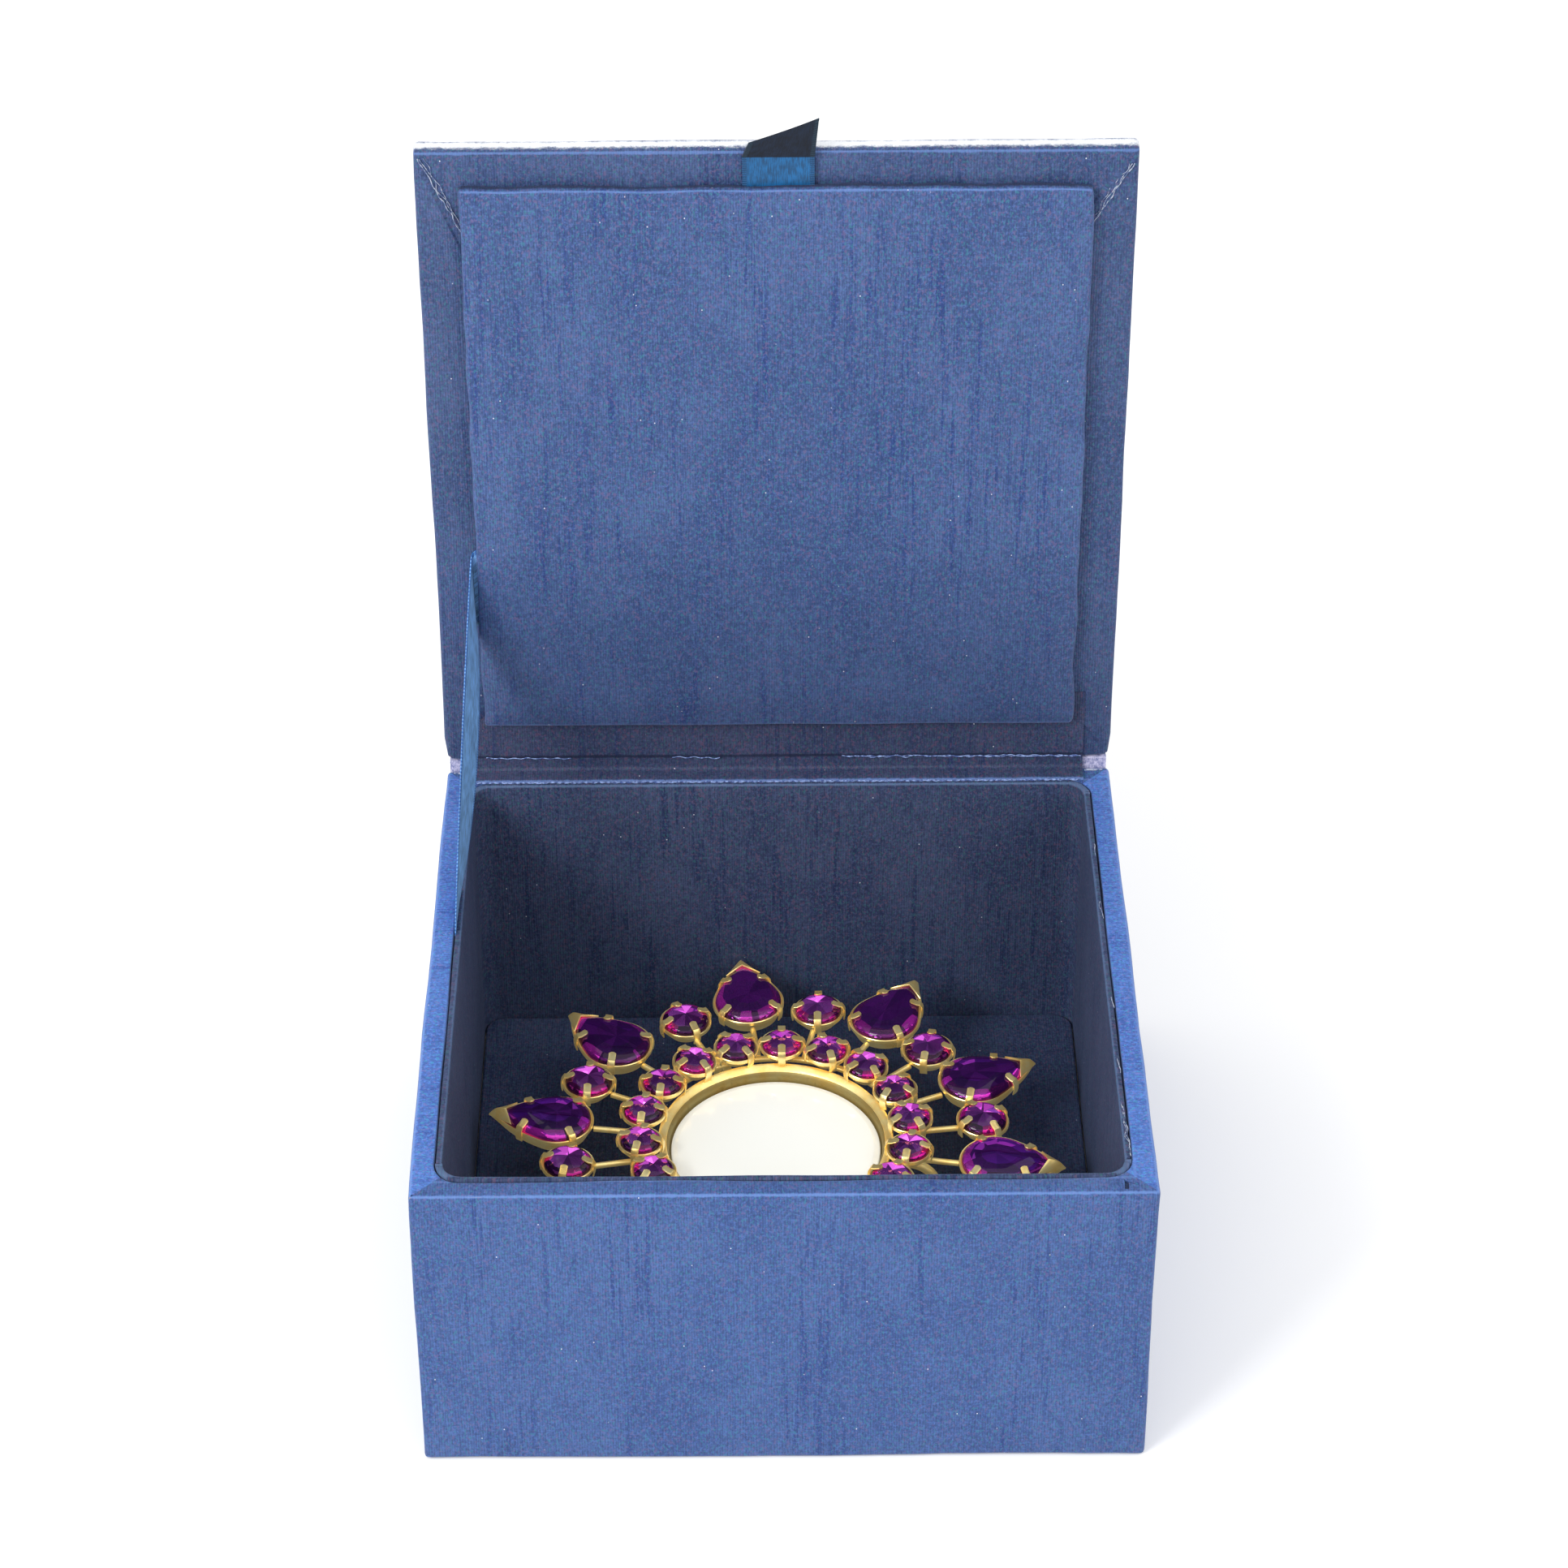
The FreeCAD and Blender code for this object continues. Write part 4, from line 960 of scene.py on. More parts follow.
def lid_core_board():
    """The board inside the lid, with its hinged corners rounded under the cloth."""
    piece = block("lid_core_board", (-LID_X + CLOTH, CLOTH, -LID_THICK + CLOTH),
                  (LID_X - CLOTH, LID_LENGTH - CLOTH, -CLOTH))
    with shaping(piece) as work:
        work.edges(lambda a, b: True)
        work.bevel(0.6)
        work.slice_all(0, -LID_X, LID_X, 0.9)
    round_corners(piece, LID_CORNER)
    smooth(piece)
    stand_on_lid(piece)
    finish_piece(piece, "lid", "greyboard", GREYBOARD)
    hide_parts("lid_board")


def swell(piece, held, most, pressure=3.0):
    """Let the cloth over the padding swell: a cloth simulation at ten times the size.

    held tells which places stay put, and no point rises by more than most."""
    trial_scale = 10
    trial = piece.copy()
    trial.data = piece.data.copy()
    bpy.context.scene.collection.objects.link(trial)
    trial.data.transform(Matrix.Scale(trial_scale, 4))
    group = trial.vertex_groups.new(name="held")
    group.add([v.index for v in piece.data.vertices if held(v.co / MM)], 1.0, "REPLACE")
    only(trial)
    cloth = trial.modifiers.new("cloth", "CLOTH")
    cloth.settings.vertex_group_mass = "held"
    cloth.settings.use_pressure = True
    cloth.settings.uniform_pressure_force = pressure
    cloth.settings.effector_weights.gravity = 0
    cloth.settings.tension_stiffness = 30
    cloth.settings.compression_stiffness = 8
    for step in range(1, 21):
        bpy.context.scene.frame_set(step)
    bpy.ops.object.modifier_apply(modifier="cloth")
    for vert, swollen in zip(piece.data.vertices, trial.data.vertices):
        rise = (swollen.co.z / trial_scale - vert.co.z) / MM
        vert.co.z += max(-0.1, min(rise, most)) * MM
    bpy.context.scene.frame_set(1)
    discard(trial)


def lid_panel():
    """The padded panel inside the lid: card, wadding and a cloth drawn over its edges."""
    piece = block("lid_panel", (-PANEL_X, PANEL_LOW, PANEL_LIFT), (PANEL_X, PANEL_HIGH, PANEL_TOP))
    with shaping(piece) as work:
        work.edges(upright)
        work.bevel(0.8)
        work.edges(lambda a, b: level(a, b, PANEL_TOP))
        work.bevel(0.65)
        work.slice_all(0, -PANEL_X, PANEL_X, 2.5)
        work.slice_all(1, PANEL_LOW, PANEL_HIGH, 2.5)
        work.tidy()
    swell(piece, lambda place: place.z < PANEL_LIFT + 1.2, 0.5)
    for vert in piece.data.vertices:
        place = vert.co / MM
        edge = min(PANEL_X - abs(place.x), place.y - PANEL_LOW, PANEL_HIGH - place.y)
        if edge < 1:
            pull = noise.noise(Vector((place.x / 9, place.y / 9, 4.0))) * 0.5
            vert.co += Vector((math.copysign(1, place.x) * (PANEL_X - abs(place.x) < 1), 0, 0)) * pull * MM
            vert.co.y += (PANEL_HIGH - place.y < 1) * pull * 1.2 * MM
    ripple(piece, 0.16, 15, 21)
    lay_grain(piece, lambda place, middle, normal: (
        place.x + 3100 + math.copysign(PANEL_TOP - place.z, place.x) * (abs(normal.x) > 0.5),
        place.y + (PANEL_TOP - place.z) * (abs(normal.y) > 0.5)))
    smooth(piece)
    stand_on_lid(piece)
    finish_piece(piece, "lid", "lining_silk", PANEL_SILK)
    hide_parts("lid_panel_cloth", "lid_panel_wadding", "lid_panel_card")


# --- cloth and ribbon strips ---------------------------------------------------------------------

def strip(name, low_x, high_x, path):
    """A strip of cloth between two places across, drawn out along a path of Y and Z places."""
    piece = flat_strip(name, (low_x, path[0][0]), (high_x, path[0][0] + 1))
    with shaping(piece) as work:
        work.verts(lambda place: place.y > path[0][0] + 0.5)
        work.move(y=path[1][0] - path[0][0] - 1, z=path[1][1])
        work.verts(lambda place: place.y < path[0][0] + 1e-4 and abs(place.z) < 1e-4)
        work.move(z=path[0][1])
        work.verts(lambda place: abs(place.y - path[1][0]) + abs(place.z - path[1][1]) < 1e-3)
        for (y, z), (next_y, next_z) in zip(path[1:], path[2:]):
            work.edges(lambda a, b: max(abs(a.y - y) + abs(a.z - z), abs(b.y - y) + abs(b.z - z)) < 1e-3)
            work.extrude(y=next_y - y, z=next_z - z)
    return piece


def path_grain(path, shift=0.0):
    """Ribs that follow a strip along its path."""
    lengths = [0.0]
    for (y, z), (next_y, next_z) in zip(path, path[1:]):
        lengths.append(lengths[-1] + math.hypot(next_y - y, next_z - z))

    def rule(place, middle, normal):
        nearest = min(range(len(path)), key=lambda i: math.hypot(path[i][0] - place.y, path[i][1] - place.z))
        return place.x + shift, lengths[nearest]

    return rule, lengths


def on_lid(y, z):
    """A place in the lid's flat frame, as the Y and Z of the open lid's place."""
    turn = math.pi - OPEN_ANGLE
    return (LID_FOOT.y + y * math.cos(turn) - z * math.sin(turn),
            LID_FOOT.z + y * math.sin(turn) + z * math.cos(turn))


def hinge_strip(name, half_x, path, shift):
    """A strip across the hinge with its grain laid, and its length."""
    piece = strip(name, -half_x, half_x, path)
    rule, lengths = path_grain(path, shift)
    lay_grain(piece, rule)
    with shaping(piece) as work:
        work.slice_all(0, -half_x, half_x, LINING_PITCH)
        work.face_out()
    return piece, lengths[-1]


def sway_strip(piece, across, up, seed, amount):
    """Move a strip in and out a little, in waves of a size across and a size up."""
    for vert in piece.data.vertices:
        wave = noise.noise(Vector((vert.co.x / MM / across, vert.co.z / MM / up, seed)))
        vert.co.y += wave * amount * MM


def hinge_lining():
    """The cloth over the inside of the hinge, from behind the rear liner to under the panel."""
    half_x = HINGE_LINING_HALF
    rim = RIM_Z + 0.2
    path = [(MOUTH_Y + 1.15, RIM_Z - TURN_IN), (MOUTH_Y + 1.15, RIM_Z - 4), (MOUTH_Y + 1.15, RIM_Z - 0.5),
            (MOUTH_Y + 1.3, rim - 0.12), (MOUTH_Y + 1.6, rim), (MOUTH_Y + 3.2, rim + 0.05),
            (HALF_Y - 0.9, rim), (HALF_Y - 0.45, rim + 0.2), (HALF_Y - 0.25, rim + 0.7),
            (HALF_Y - 0.28, rim + 1.3)]
    path += [on_lid(up, 0.18) for up in (0.1, 1.0, 3.0, 6.0, 9.0, 12.0, 15.0)]
    piece, length = hinge_strip("hinge_lining", half_x, path, 4000)
    sway_strip(piece, 14, 8, 7.0, 0.12)
    thicken(piece, 0.3, offset=0)
    smooth(piece, 60)
    finish_piece(piece, None, "lining_silk", HINGE_SILK)
    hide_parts("hinge_lining_cloth")
    (HALF_Y - 0.3) * MM
    (RIM_Z + 0.1) * MM
    (HALF_Y - 0.3) * MM
    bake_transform(piece)
    length * MM


def spine():
    """The cloth over the outside of the hinge; its papered back shows in the gap at the ends."""
    half_x = HALF_X - 0.6
    back = HALF_Y + 0.2
    path = [(back, RIM_Z - TURN_IN), (back, RIM_Z - 7), (back, RIM_Z - 0.6), (back + 0.12, RIM_Z + 0.3),
            (back + 0.22, RIM_Z + 1.0), (back + 0.1, LID_FOOT.z - 0.35)]
    path += [on_lid(-0.18, -0.6), on_lid(-0.2, -2.2), on_lid(-0.18, -3.8), on_lid(0.1, -LID_THICK - 0.12)]
    path += [on_lid(up, -LID_THICK - 0.18) for up in (1.0, 5.0, 10.0, 15.0)]
    piece, length = hinge_strip("spine", half_x, path, 4500)
    dress(piece, TRAY_SILK, BACKING)
    sway_strip(piece, 10, 6, 3.0, 0.1)
    thicken(piece, 0.3, offset=0, material_offset=1)
    smooth(piece, 60)
    finish_piece(piece, None, "outer_silk")
    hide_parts("spine_cloth")
    back * MM
    (RIM_Z + 0.1) * MM
    back * MM
    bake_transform(piece)
    length * MM


RIBBON_WIDTH = 12.5
PULL_LEFT, PULL_RIGHT = -5.95, 6.55
PULL_BEND, PULL_LEAN = 125.7, math.radians(18)
PULL_LOW_END, PULL_HIGH_END = 3.3, 9.0
STAY_FRONT = HALF_Y - 38.5 - RIBBON_WIDTH
STAY_LOW, STAY_SPAN = 31.0, 15.0
TAB_FACE = satin("tab_ribbon", (0.004, 0.085, 0.23), (0.01, 0.05, 0.13), width=(0, RIBBON_WIDTH))
# A near-black, dull copy of the tab satin: painted shade on the part of the ribbon that leans out and faces
# down.
TAB_SHADED = satin("tab_ribbon_painted_shade", (0.005, 0.011, 0.026), (0.012, 0.03, 0.05), low=0.75,
                 width=(0, RIBBON_WIDTH))
STAY_SATIN = satin("stay_ribbon_satin", (0.16, 0.36, 0.68), (0.01, 0.09, 0.34), width=(0, RIBBON_WIDTH))


def ribbon_grid(name, rows, place_at, columns=10):
    """A ribbon laid as a grid: place_at gives a place for a share across and a share along."""
    only(None)
    bpy.ops.mesh.primitive_grid_add(x_subdivisions=columns, y_subdivisions=rows, size=1)
    piece = settle(name)
    shares = [(vert.co.x + 0.5, vert.co.y + 0.5) for vert in piece.data.vertices]
    grain = piece.data.uv_layers.new(name="grain")
    for loop in piece.data.loops:
        across, along = shares[loop.vertex_index]
        grain.data[loop.index].uv = (across * RIBBON_WIDTH, along * rows)
    for vert, (across, along) in zip(piece.data.vertices, shares):
        vert.co = Vector(place_at(across, along)) * MM
    piece.data.update()
    return piece


def pull_ribbon():
    """The doubled pull ribbon: flat on the lid, then leaning out to a fold on the slant."""
    low = PANEL_HIGH - 15.0
    flat_length = PULL_BEND - low
    back_gap = 0.55

    def place_at(across, along):
        x = PULL_LEFT + (PULL_RIGHT - PULL_LEFT) * across
        front, fold = flat_length, PULL_LOW_END + (PULL_HIGH_END - PULL_LOW_END) * across
        outward = along <= 0.5
        share = 2 * along if outward else 2 - 2 * along
        distance = front * share / 0.75 if share < 0.75 else front + fold * (share - 0.75) / 0.25
        up, out = distance, 0.42
        if distance > front:
            beyond = distance - front
            ease = min(1.0, beyond / 0.8)
            up = front + beyond * math.cos(PULL_LEAN * ease)
            out += beyond * math.sin(PULL_LEAN * ease)
            x += beyond * (0.35 - 0.27 * across)
        closeness = (front + fold - distance) / 0.9
        split = back_gap / 2 * min(1.0, math.sqrt(max(0.0, min(1.0, closeness))))
        out += split * 0.5 if outward else -split
        return x, low + up, out

    piece = ribbon_grid("pull_tab", 72, place_at)
    dress(piece, TAB_FACE, TAB_SHADED)
    # Faces past the bend get the dark copy: painted shade on the leaning fold.
    for face in piece.data.polygons:
        face.material_index = 1 if face.center.y / MM > PULL_BEND else 0
    thicken(piece, 0.2, offset=0)
    smooth(piece, 60)
    stand_on_lid(piece)
    finish_piece(piece, "lid", "ribbon")
    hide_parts("pull_ribbon")


def stay_ribbon():
    """The ribbon that stops the lid, from behind the left liner to under the panel's edge."""
    x_low, x_high = -MOUTH_X - 1.08, -55.9
    top_y, top_z = on_lid(STAY_LOW, 0.35)
    high_y, high_z = on_lid(STAY_LOW + STAY_SPAN, 0.35)
    tuck, under = 14.0, 7.5

    def span(across, share):
        low = Vector((x_low, STAY_FRONT + RIBBON_WIDTH * (1 - across), RIM_Z))
        high = Vector((x_high, top_y, top_z)).lerp(Vector((x_high, high_y, high_z)), across)
        place = low.lerp(high, share)
        belly = math.sin(math.pi * share) ** 0.6
        place.x += 0.8 * belly - 2.2 * (across - 0.5) * belly
        return place

    lengths = (tuck, (span(0.5, 1) - span(0.5, 0)).length, under)
    total = sum(lengths)

    def place_at(across, along):
        walked = along * total
        if walked < tuck:
            foot = span(across, 0)
            return foot.x, foot.y, foot.z - (tuck - walked)
        if walked < tuck + lengths[1]:
            return span(across, (walked - tuck) / lengths[1])
        beyond = walked - tuck - lengths[1]
        y, z = on_lid(STAY_LOW + STAY_SPAN * across + beyond * 0.9, 0.38)
        return x_high + beyond, y, z

    piece = ribbon_grid("stay_strap", 78, place_at, columns=8)
    thicken(piece, 0.22, offset=0)
    smooth(piece, 60)
    finish_piece(piece, None, "ribbon", STAY_SATIN)
    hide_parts("stay_ribbon")
    STAY_FRONT * MM
    RIM_Z * MM
    STAY_FRONT * MM
    (RIM_Z + 12.0) * MM
    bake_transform(piece)


# --- loose threads --------------------------------------------------------------------------------

def frayed(name, dark, pale):
    """Pulled silk thread, paler where it has fluffed."""
    made = Finish(name, Roughness=0.8, Sheen_Weight=0.3)
    fluff = made.clouds(made.place(), (1.4, 1.4, 1.4), detail=3.0)
    made.set(Base_Color=made.mix(fluff.rise(0.4, 0.6), dark, pale))
    made.bump(fluff, 0.05, 0.6)
    return made.material


PALE_THREAD = frayed("pale_thread", (0.07, 0.11, 0.25), (0.36, 0.4, 0.5))
BLUE_THREAD = frayed("blue_thread", (0.04, 0.08, 0.26), (0.25, 0.35, 0.65))


def thread(name, start, end, thickness, wander, seed, twist=0.0):
    """One thread from place to place: a tube that wanders, or winds round its line."""
    start, end = Vector(start), Vector(end)
    line = end - start
    side = line.cross(Vector((0, 0, 1))).normalized()
    lift = side.cross(line).normalized()
    only(None)
    bpy.ops.mesh.primitive_grid_add(x_subdivisions=6, y_subdivisions=max(6, round(line.length / 0.5)), size=1)
    piece = settle(name)
    for vert in piece.data.vertices:
        round_it = (vert.co.x + 0.5) * 2 * math.pi
        share = vert.co.y + 0.5
        walked = share * line.length
        sway = noise.noise(Vector((walked / 2.2, seed * 7.7, 1.0))) * wander
        hop = noise.noise(Vector((walked / 1.7, seed * 3.3, 5.0))) * wander * 0.4
        if twist:
            sway += twist * math.cos(walked * 2.4 + seed * math.pi)
            hop += twist * 0.5 * math.sin(walked * 2.4 + seed * math.pi)
        girth = thickness / 2 * (0.75 + 0.5 * noise.noise(Vector((walked, seed, 3.0))))
        vert.co = (start + line * share + side * (sway + girth * math.cos(round_it))
                   + lift * (hop + girth * math.sin(round_it))) * MM
    with shaping(piece) as work:
        work.close_up()
    smooth(piece, 60)
    return piece


def loose_threads():
    """Frayed edges along the mitres, the rear rim and the hinge, each a piece of its own."""
    on_mitre = []
    for side, top, foot in ((-1, 125.6, 111.5), (1, 124.0, 112.5)):
        for turn in range(3):
            shift = turn * 0.5
            on_mitre.append(thread("mitre_thread", (side * (61.8 - shift), top, 0.3),
                                   (side * (54.9 - shift), foot - shift, 0.42), 0.26 - 0.05 * turn, 0.7,
                                   turn + 3 * side))
    mitres = join("mitre_threads", on_mitre)
    stand_on_lid(mitres)
    finish_piece(mitres, "lid", "outer_silk", PALE_THREAD)
    foot = join("lid_foot_threads", [
        thread("foot_thread", (x, 1.0, 0.5), (x + length, 0.8, 0.5), 0.24, 0.3, seed, 0.1)
        for x, length, seed in ((12, 45, 1), (12.5, 44, 2), (-55, 16, 3), (-20, 9, 4))])
    stand_on_lid(foot)
    finish_piece(foot, "lid", "lining_silk", BLUE_THREAD)
    rim = join("rear_rim_threads", [
        thread("rim_thread", (-56.6, MOUTH_Y + 0.95, RIM_Z + 0.1), (56.6, MOUTH_Y + 0.95, RIM_Z + 0.1),
               0.26, 0.15, seed, 0.14) for seed in (0, 1)])
    finish_piece(rim, "tray", "lining_silk", BLUE_THREAD)
    ends = [thread("end_thread", (side * 57.8, HALF_Y - 1.2, RIM_Z + lift * 0.5),
                   (side * 61.2, HALF_Y - 1.0, RIM_Z + lift * 0.5), 0.25, 0.2, lift + side)
            for side in (-1, 1) for lift in (0.0, 0.2)]
    ends += [thread("fray_thread", (MOUTH_X + 0.9, low, RIM_Z), (MOUTH_X + 0.7, low + long, RIM_Z),
                    0.2, 0.6, low)
             for low, long in ((-52, 9), (-50, 5), (-46, 7), (-41, 3), (-30, 4), (-12, 3), (14, 5), (33, 4))]
    frays = join("rim_frays", ends)
    finish_piece(frays, "tray", "outer_silk", PALE_THREAD)


# --- the candle holder ---------------------------------------------------------------------------

INNER_RIM = DISC_TOP + 4.2
OUTER_RIM = DISC_TOP + 2.1
INNER_CUP, ROUND_CUP, PEAR_CUP = 4.2, 4.9, 6.8
INNER_STONE, ROUND_STONE, PEAR_STONE = 3.7, 4.4, 6.3
PEAR_CUP_TIP, PEAR_STONE_TIP = 12.3, 11.3
INNER_DOME, ROUND_DOME, PEAR_DOME = 1.5, 1.8, 1.9
SHOULDER = math.radians(70)
DOME_POWER = 0.43


def pan():
    """The thin pan that holds the disc, with a flared and rolled lip."""
    top = DISC_TOP
    piece = turned("pan", [
        (19.6, top - 2.8), (19.6, top + 0.3), (19.72, top + 0.85), (20.05, top + 1.35), (20.5, top + 1.75),
        (21.0, top + 2.05), (21.3, top + 2.2), (21.5, top + 2.2), (21.62, top + 2.05), (21.58, top + 1.85),
        (21.4, top + 1.75), (20.9, top + 1.45), (20.45, top + 0.95), (20.25, top + 0.4), (20.2, top - 0.2),
        (20.2, top - 3.1), (19.9, top - 3.35), (8.0, top - 3.4),
    ], 96, (STAR.x, STAR.y, 0))
    # The pan's inner wall above the disc's foot gets the darkened gilt: painted shade on the wall.
    for face in piece.data.polygons:
        within = (face.center / MM - STAR).xy.length < 19.9
        face.material_index = 1 if within and face.center.z / MM > top - 2.9 else 0
    smooth(piece, 50)
    finish_piece(piece, "candle_holder", "gilt_brass", PAN_GOLD, PAN_SHADED)
    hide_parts("ring_pan")


def disc():
    """The opal disc, with a broad soft bevel."""
    top = DISC_TOP
    piece = turned("disc", [
        (6.0, top - 2.75), (18.9, top - 2.75), (19.25, top - 2.45), (19.25, top - 0.55), (19.12, top - 0.38),
        (18.1, top - 0.04), (17.9, top), (9.0, top), (3.0, top), (0.0, top),
    ], 96, (STAR.x, STAR.y, 0))
    smooth(piece, 25)
    finish_piece(piece, "candle_holder", "opal_glass", OPAL)
    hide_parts("glass_disc")


def prong(radius, dome, stone_radius, reach=2.3):
    """A claw up a cup's side and over its stone's edge, towards the middle from +X."""
    def over(place):
        return dome * max(0.0, 1 - (place / stone_radius) ** 2) ** DOME_POWER

    path = [(radius - 0.05, -1.9), (radius + 0.14, -0.9), (radius + 0.17, 0.0), (radius + 0.05, 0.42),
            (radius - 0.35, over(radius - 0.75) + 0.42), (radius - 0.9, over(radius - 0.9) + 0.3),
            (radius - reach, over(radius - reach) + 0.2)]
    piece = strip("claw", -0.7, 0.7, path)
    with shaping(piece) as work:
        work.slice_all(0, -0.7, 0.7, 0.46)
        work.verts(lambda place: place.y < radius - reach + 0.01 and place.z > 0 and abs(place.x) > 0.5)
        work.move(y=0.35)
    thicken(piece, 0.26, offset=0)
    modify(piece, "BEVEL", width=0.07 * MM, segments=2, limit_method="ANGLE")
    smooth(piece, 45)
    piece.data.transform(Matrix.Rotation(-math.pi / 2, 4, "Z"))
    return piece


def pear_outline(round_radius, tip):
    """A pear's radius about its round end's middle: a circle, then arcs that meet at the tip."""
    pull = (tip ** 2 - round_radius ** 2) / (2 * round_radius - 2 * tip * math.cos(SHOULDER))

    def radius(angle):
        angle = abs(angle)
        if angle >= SHOULDER:
            return round_radius * MM
        lean = pull * math.cos(SHOULDER - angle)
        return (-lean + math.sqrt(lean ** 2 + round_radius ** 2 + 2 * round_radius * pull)) * MM

    return radius


def cup(name, radius, foot, outline=None):
    """A thin cup with a straight band round its rim."""
    piece = turned(name, [
        (foot - 0.3, -3.0), (foot, -2.85), (radius - 0.18, -0.85), (radius, -0.62), (radius, -0.05),
        (radius - 0.1, 0.08), (radius - 0.26, 0.04), (radius - 0.34, -0.3), (foot - 0.35, -2.5),
    ], 48 if outline else 28, outline=outline and (lambda angle: outline(angle) * (foot - 0.3) / radius))
    smooth(piece, 35)
    return piece


def stone(name, radius, dome, outline=None):
    """A stone's smooth dome, down to its girdle; its grain is its own radius."""
    steps = 7
    profile = [(radius * 0.93, -0.8), (radius, -0.3), (radius, -0.02)]
    for step in range(1, steps + 1):
        lean = math.pi / 2 * step / steps
        profile.append((radius * math.cos(lean), dome * math.sin(lean) ** (2 * DOME_POWER)))
    piece = turned(name, profile, 48 if outline else 32,
                   outline=outline and (lambda angle: outline(angle) * 0.93))
    lay_grain(piece, lambda place, middle, normal: (
        (place.x if place.x < 0 or not outline else place.x * 0.58) / radius, place.y / radius))
    smooth(piece, 60)
    return piece


def cap_leaf():
    """The folded cap over a pear's tip: two wings that meet in a ridge."""
    only(None)
    bpy.ops.mesh.primitive_grid_add(x_subdivisions=6, y_subdivisions=6, size=1)
    piece = settle("cap_leaf")
    for vert in piece.data.vertices:
        back, across = vert.co.x + 0.5, 2 * vert.co.y
        spread = 0.12 + 3.1 * back
        middle = 1 - abs(across)
        vert.co = Vector((
            PEAR_CUP_TIP + 0.35 - back * (4.7 - 1.5 * middle),
            across * spread,
            -0.25 + 0.75 * back + (1.45 - 0.35 * back) * middle ** 0.8 * min(1, back * 2.2 + 0.1),
        )) * MM
    piece.data.update()
    thicken(piece, 0.28, offset=0)
    modify(piece, "BEVEL", width=0.06 * MM, segments=2, limit_method="ANGLE")
    smooth(piece, 45)
    return piece


def setting(name, radius, foot, dome, stone_radius, prong_angles, outline=None, extras=()):
    """A cup with its claws, as one pattern; claws stand square to the cup's outline."""
    claw = prong(radius, dome, stone_radius)
    parts = [cup(name, radius, foot, outline), *extras]
    for degrees in prong_angles:
        angle = math.radians(degrees)
        place = Matrix.Rotation(angle, 4, "Z")
        if outline and abs(angle) < SHOULDER:
            lean = SHOULDER * 0.88
            place = Matrix.Translation(Vector((math.cos(angle), math.sin(angle), 0)) * outline(angle)) \
                @ Matrix.Rotation(math.copysign(lean, angle), 4, "Z") \
                @ Matrix.Translation((-radius * MM, 0, 0))
        parts.append(copy_at(claw, name + "_claw", place))
    discard(claw)
    return join(name, parts)


def seats(node):
    """Each stone of a packed group: its nearest and farthest reach, and its angle, about the star."""
    found = []
    for points in islands(node):
        reach = [(point - STAR).xy.length for point in points]
        far = points[reach.index(max(reach))]
        angle = math.atan2(far.y - STAR.y, far.x - STAR.x)
        found.append((min(reach), max(reach), angle))
    return sorted(found, key=lambda seat: seat[2])


def spread(name, pattern, node, rim, from_far, turn=0.0, jitter=2.0, number=False):
    """Copies of a pattern in a packed group's places, joined as one piece."""
    parts = []
    for index, (near, outer, angle) in enumerate(seats(node)):
        radius = outer - from_far if from_far is not None else (near + outer) / 2
        sway = [noise.noise(Vector((index * 3.7, axis * 9.1, 2.5))) for axis in range(3)]
        place = Matrix.Translation(Vector((STAR.x, STAR.y, rim)) * MM) @ Matrix.Rotation(angle, 4, "Z") \
            @ Matrix.Translation((radius * MM, 0, 0)) \
            @ Matrix.Rotation(math.radians(jitter * sway[0]), 4, "X") \
            @ Matrix.Rotation(math.radians(jitter * sway[1]), 4, "Y") \
            @ Matrix.Rotation(turn * sway[2], 4, "Z")
        made = copy_at(pattern, f"{name}_{index}", place)
        if number:
            mark = made.data.attributes.new("stone", "FLOAT", "POINT")
            mark.data.foreach_set("value", [float(index)] * len(made.data.vertices))
        parts.append(made)
    discard(pattern)
    return join(name, parts)


def stones_and_settings():
    """Three rings of stones in gilt cups: small rounds, larger rounds, and pears."""
    pear_cup_line = pear_outline(PEAR_CUP, PEAR_CUP_TIP)
    pear_stone_line = pear_outline(PEAR_STONE, PEAR_STONE_TIP)
    kinds = (
        ("inner", setting("inner_cup", INNER_CUP, 2.3, INNER_DOME, INNER_STONE, (0, 90, 180, 270)),
         stone("inner_gem", INNER_STONE, INNER_DOME), INNER_RIM, None, 6.0, ROUND_GEM),
        ("round", setting("round_cup", ROUND_CUP, 3.0, ROUND_DOME, ROUND_STONE, (0, 90, 180, 270)),
         stone("round_gem", ROUND_STONE, ROUND_DOME), OUTER_RIM, None, 6.0, ROUND_GEM),
        ("pear", setting("pear_cup", PEAR_CUP, 5.6, PEAR_DOME, PEAR_STONE, (-125, 125, -36, 36),
                         pear_cup_line, [cap_leaf()]),
         stone("pear_gem", PEAR_STONE, PEAR_DOME, pear_stone_line), OUTER_RIM, PEAR_STONE_TIP, 3.0, PEAR_GEM),
    )
    for kind, cups, gems, rim, from_far, jitter, finish in kinds:
        node = f"{kind}_stones"
        turn = 0 if from_far else 1.1
        cups = spread(f"{kind}_cups", cups, node, rim, from_far, turn=turn, jitter=jitter)
        finish_piece(cups, "candle_holder", "gilt_brass", GOLD)
        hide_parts(f"{kind}_settings")
        gems = spread(f"{kind}_gems", gems, node, rim, from_far, turn=turn, jitter=jitter, number=True)
        finish_piece(gems, "candle_holder", "purple_stone", finish)
        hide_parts(node)


# --- the camera, the light and the floor ----------------------------------------------------------

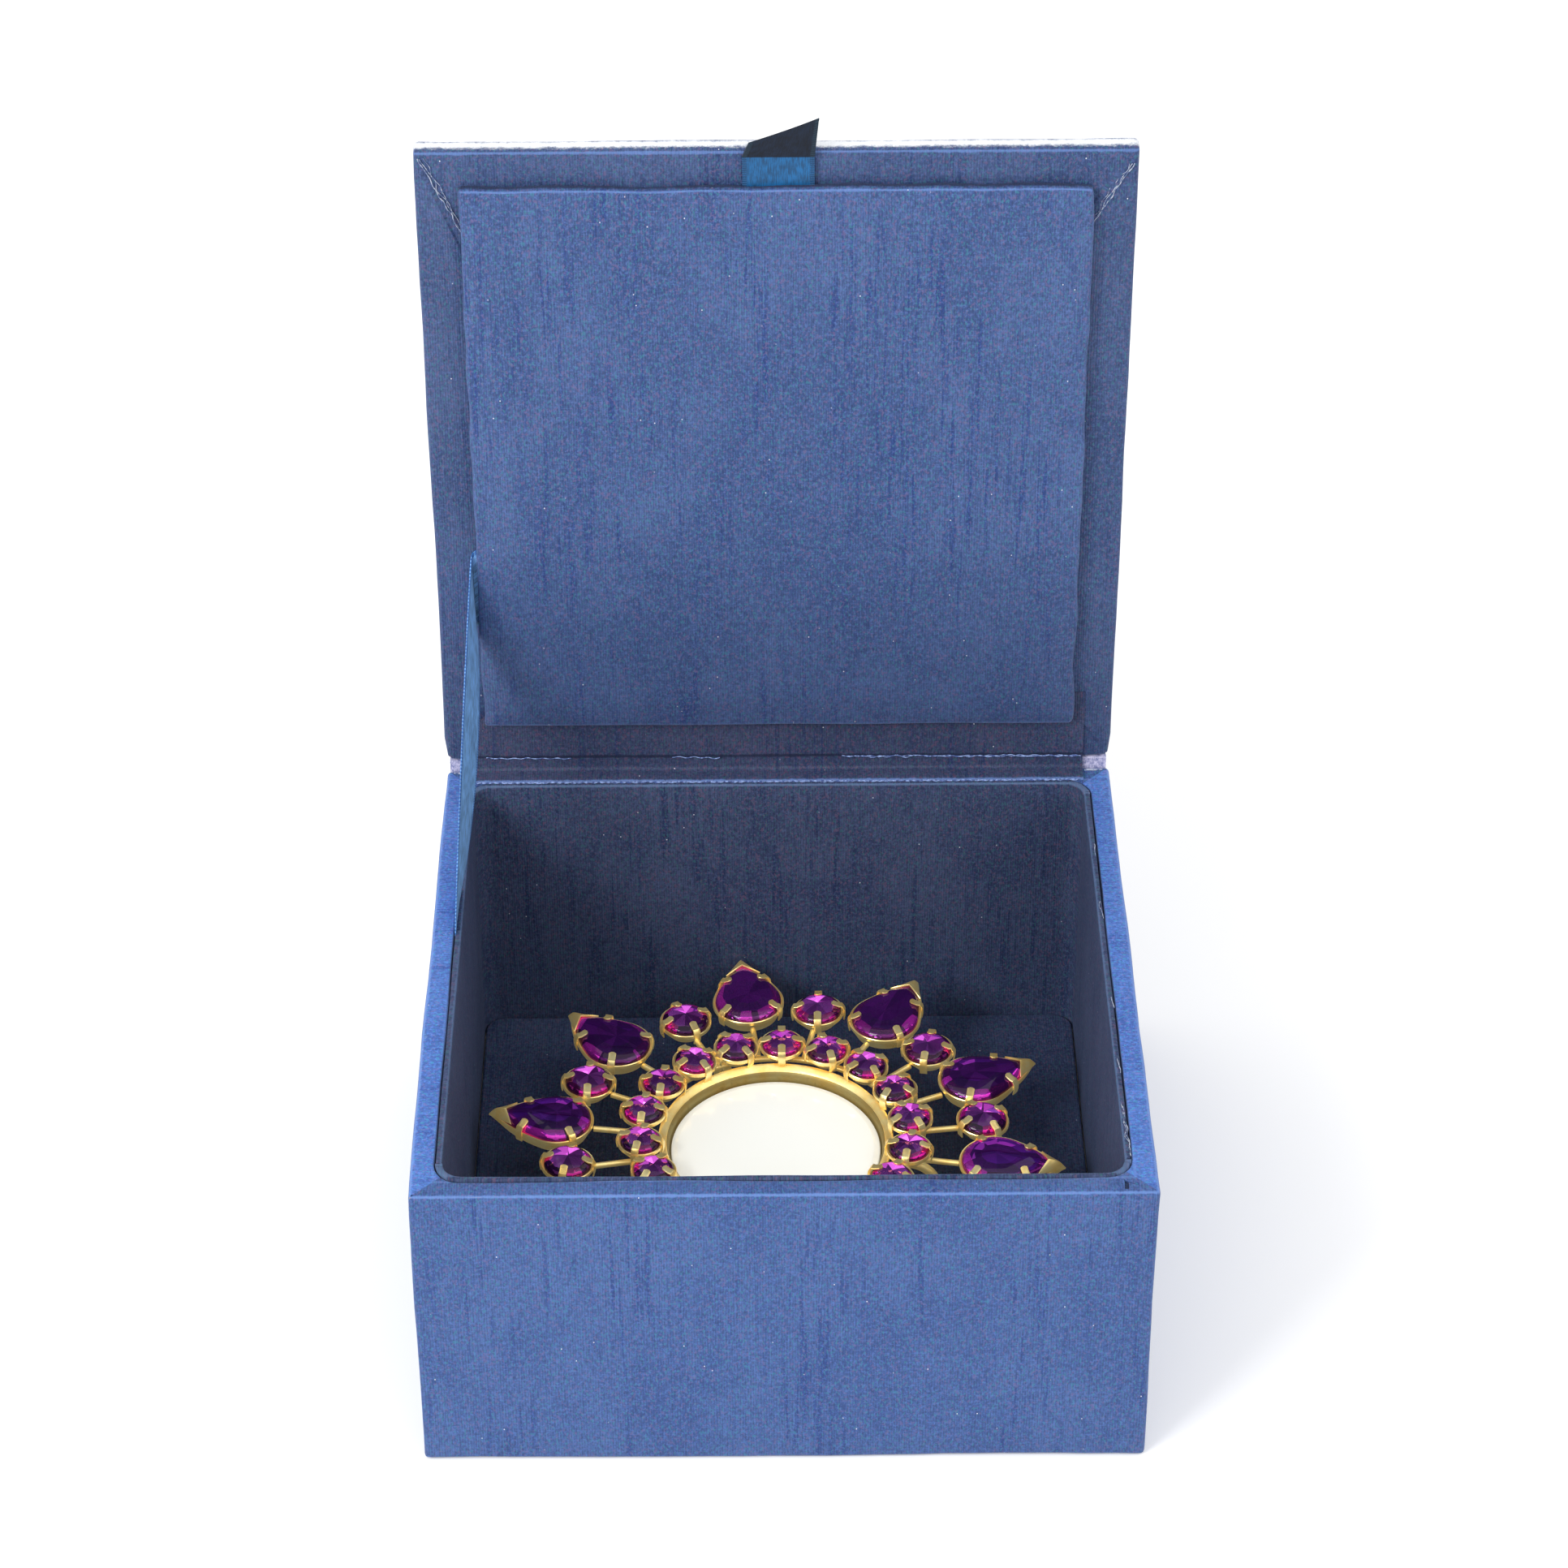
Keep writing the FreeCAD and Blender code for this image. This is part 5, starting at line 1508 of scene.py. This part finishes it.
LENS = 99.79
CAMERA_PLACE = (-4.08, -609.86, 532.76)
CAMERA_TURN, CAMERA_PITCH, CAMERA_ROLL = -0.44, 35.37, -0.1
SKY_STRENGTH = 1.05
LIGHTS = (("key", (-0.75, -0.7, 0.75), 0.5, 9.0), ("fill", (0.8, -0.5, 0.9), 0.9, 3.0))
LIT_PLACE = Vector((0, 0, 0.06))


def camera_and_light():
    """The camera in front and above, white surroundings, two soft lamps and a paper floor."""
    data = bpy.data.cameras.new("camera")
    data.lens = LENS
    data.sensor_width = 36.0
    data.clip_start, data.clip_end = 0.05, 20.0
    camera = bpy.data.objects.new("camera", data)
    bpy.context.scene.collection.objects.link(camera)
    camera.matrix_world = Matrix.Translation(Vector(CAMERA_PLACE) * MM) \
        @ Matrix.Rotation(math.radians(CAMERA_TURN), 4, "Z") \
        @ Matrix.Rotation(math.radians(90 - CAMERA_PITCH), 4, "X") \
        @ Matrix.Rotation(math.radians(CAMERA_ROLL), 4, "Z")
    bpy.context.scene.camera = camera

    world = bpy.data.worlds.new("studio")
    bpy.context.scene.world = world
    world.use_nodes = True
    background = world.node_tree.nodes["Background"]
    background.inputs["Color"].default_value = (1.0, 1.0, 1.0, 1.0)
    background.inputs["Strength"].default_value = SKY_STRENGTH

    for name, place, size, power in LIGHTS:
        light = bpy.data.lights.new(name, "AREA")
        light.size = size
        light.energy = power
        lamp = bpy.data.objects.new(name, light)
        bpy.context.scene.collection.objects.link(lamp)
        lamp.location = place
        lamp.rotation_euler = (LIT_PLACE - Vector(place)).to_track_quat("-Z", "Y").to_euler()

    only(None)
    bpy.ops.mesh.primitive_plane_add(size=8, location=(0, 0, -0.0002))
    floor = settle("floor")
    paper = Finish("floor_paper", Roughness=0.9, Specular_IOR_Level=0.1)
    tone = paper.clouds(paper.place(), (0.01, 0.01, 0.01))
    paper.set(Base_Color=paper.mix(tone, (0.95, 0.95, 0.95), (0.97, 0.97, 0.97)))
    floor.data.materials.append(paper.material)
    bpy.context.scene.view_settings.view_transform = "Standard"


# --- putting it together ----------------------------------------------------------------------------

camera_and_light()
tray_cover()
for wall, wall_x, wall_y in (("left", -1, 0), ("right", 1, 0), ("front", 0, -1), ("rear", 0, 1)):
    liner(f"{wall}_liner", f"{wall}_liner_cloth", wall_x, wall_y)
floor_pad()
lid_core_board()
lid_cover()
lid_panel()
hinge_lining()
spine()
pull_ribbon()
stay_ribbon()
loose_threads()
pan()
disc()
stones_and_settings()
for board_node in ["base_board"] + WALL_BOARDS:
    finish_cad(board_node, GREYBOARD)
finish_cad("corner_stays", KRAFT)
finish_cad("underside_lining", UNDER_SILK)
for wire_node in ("wire_ring", "wire_legs", "round_stems", "pear_stems"):
    finish_cad(wire_node, WIRE_GOLD)
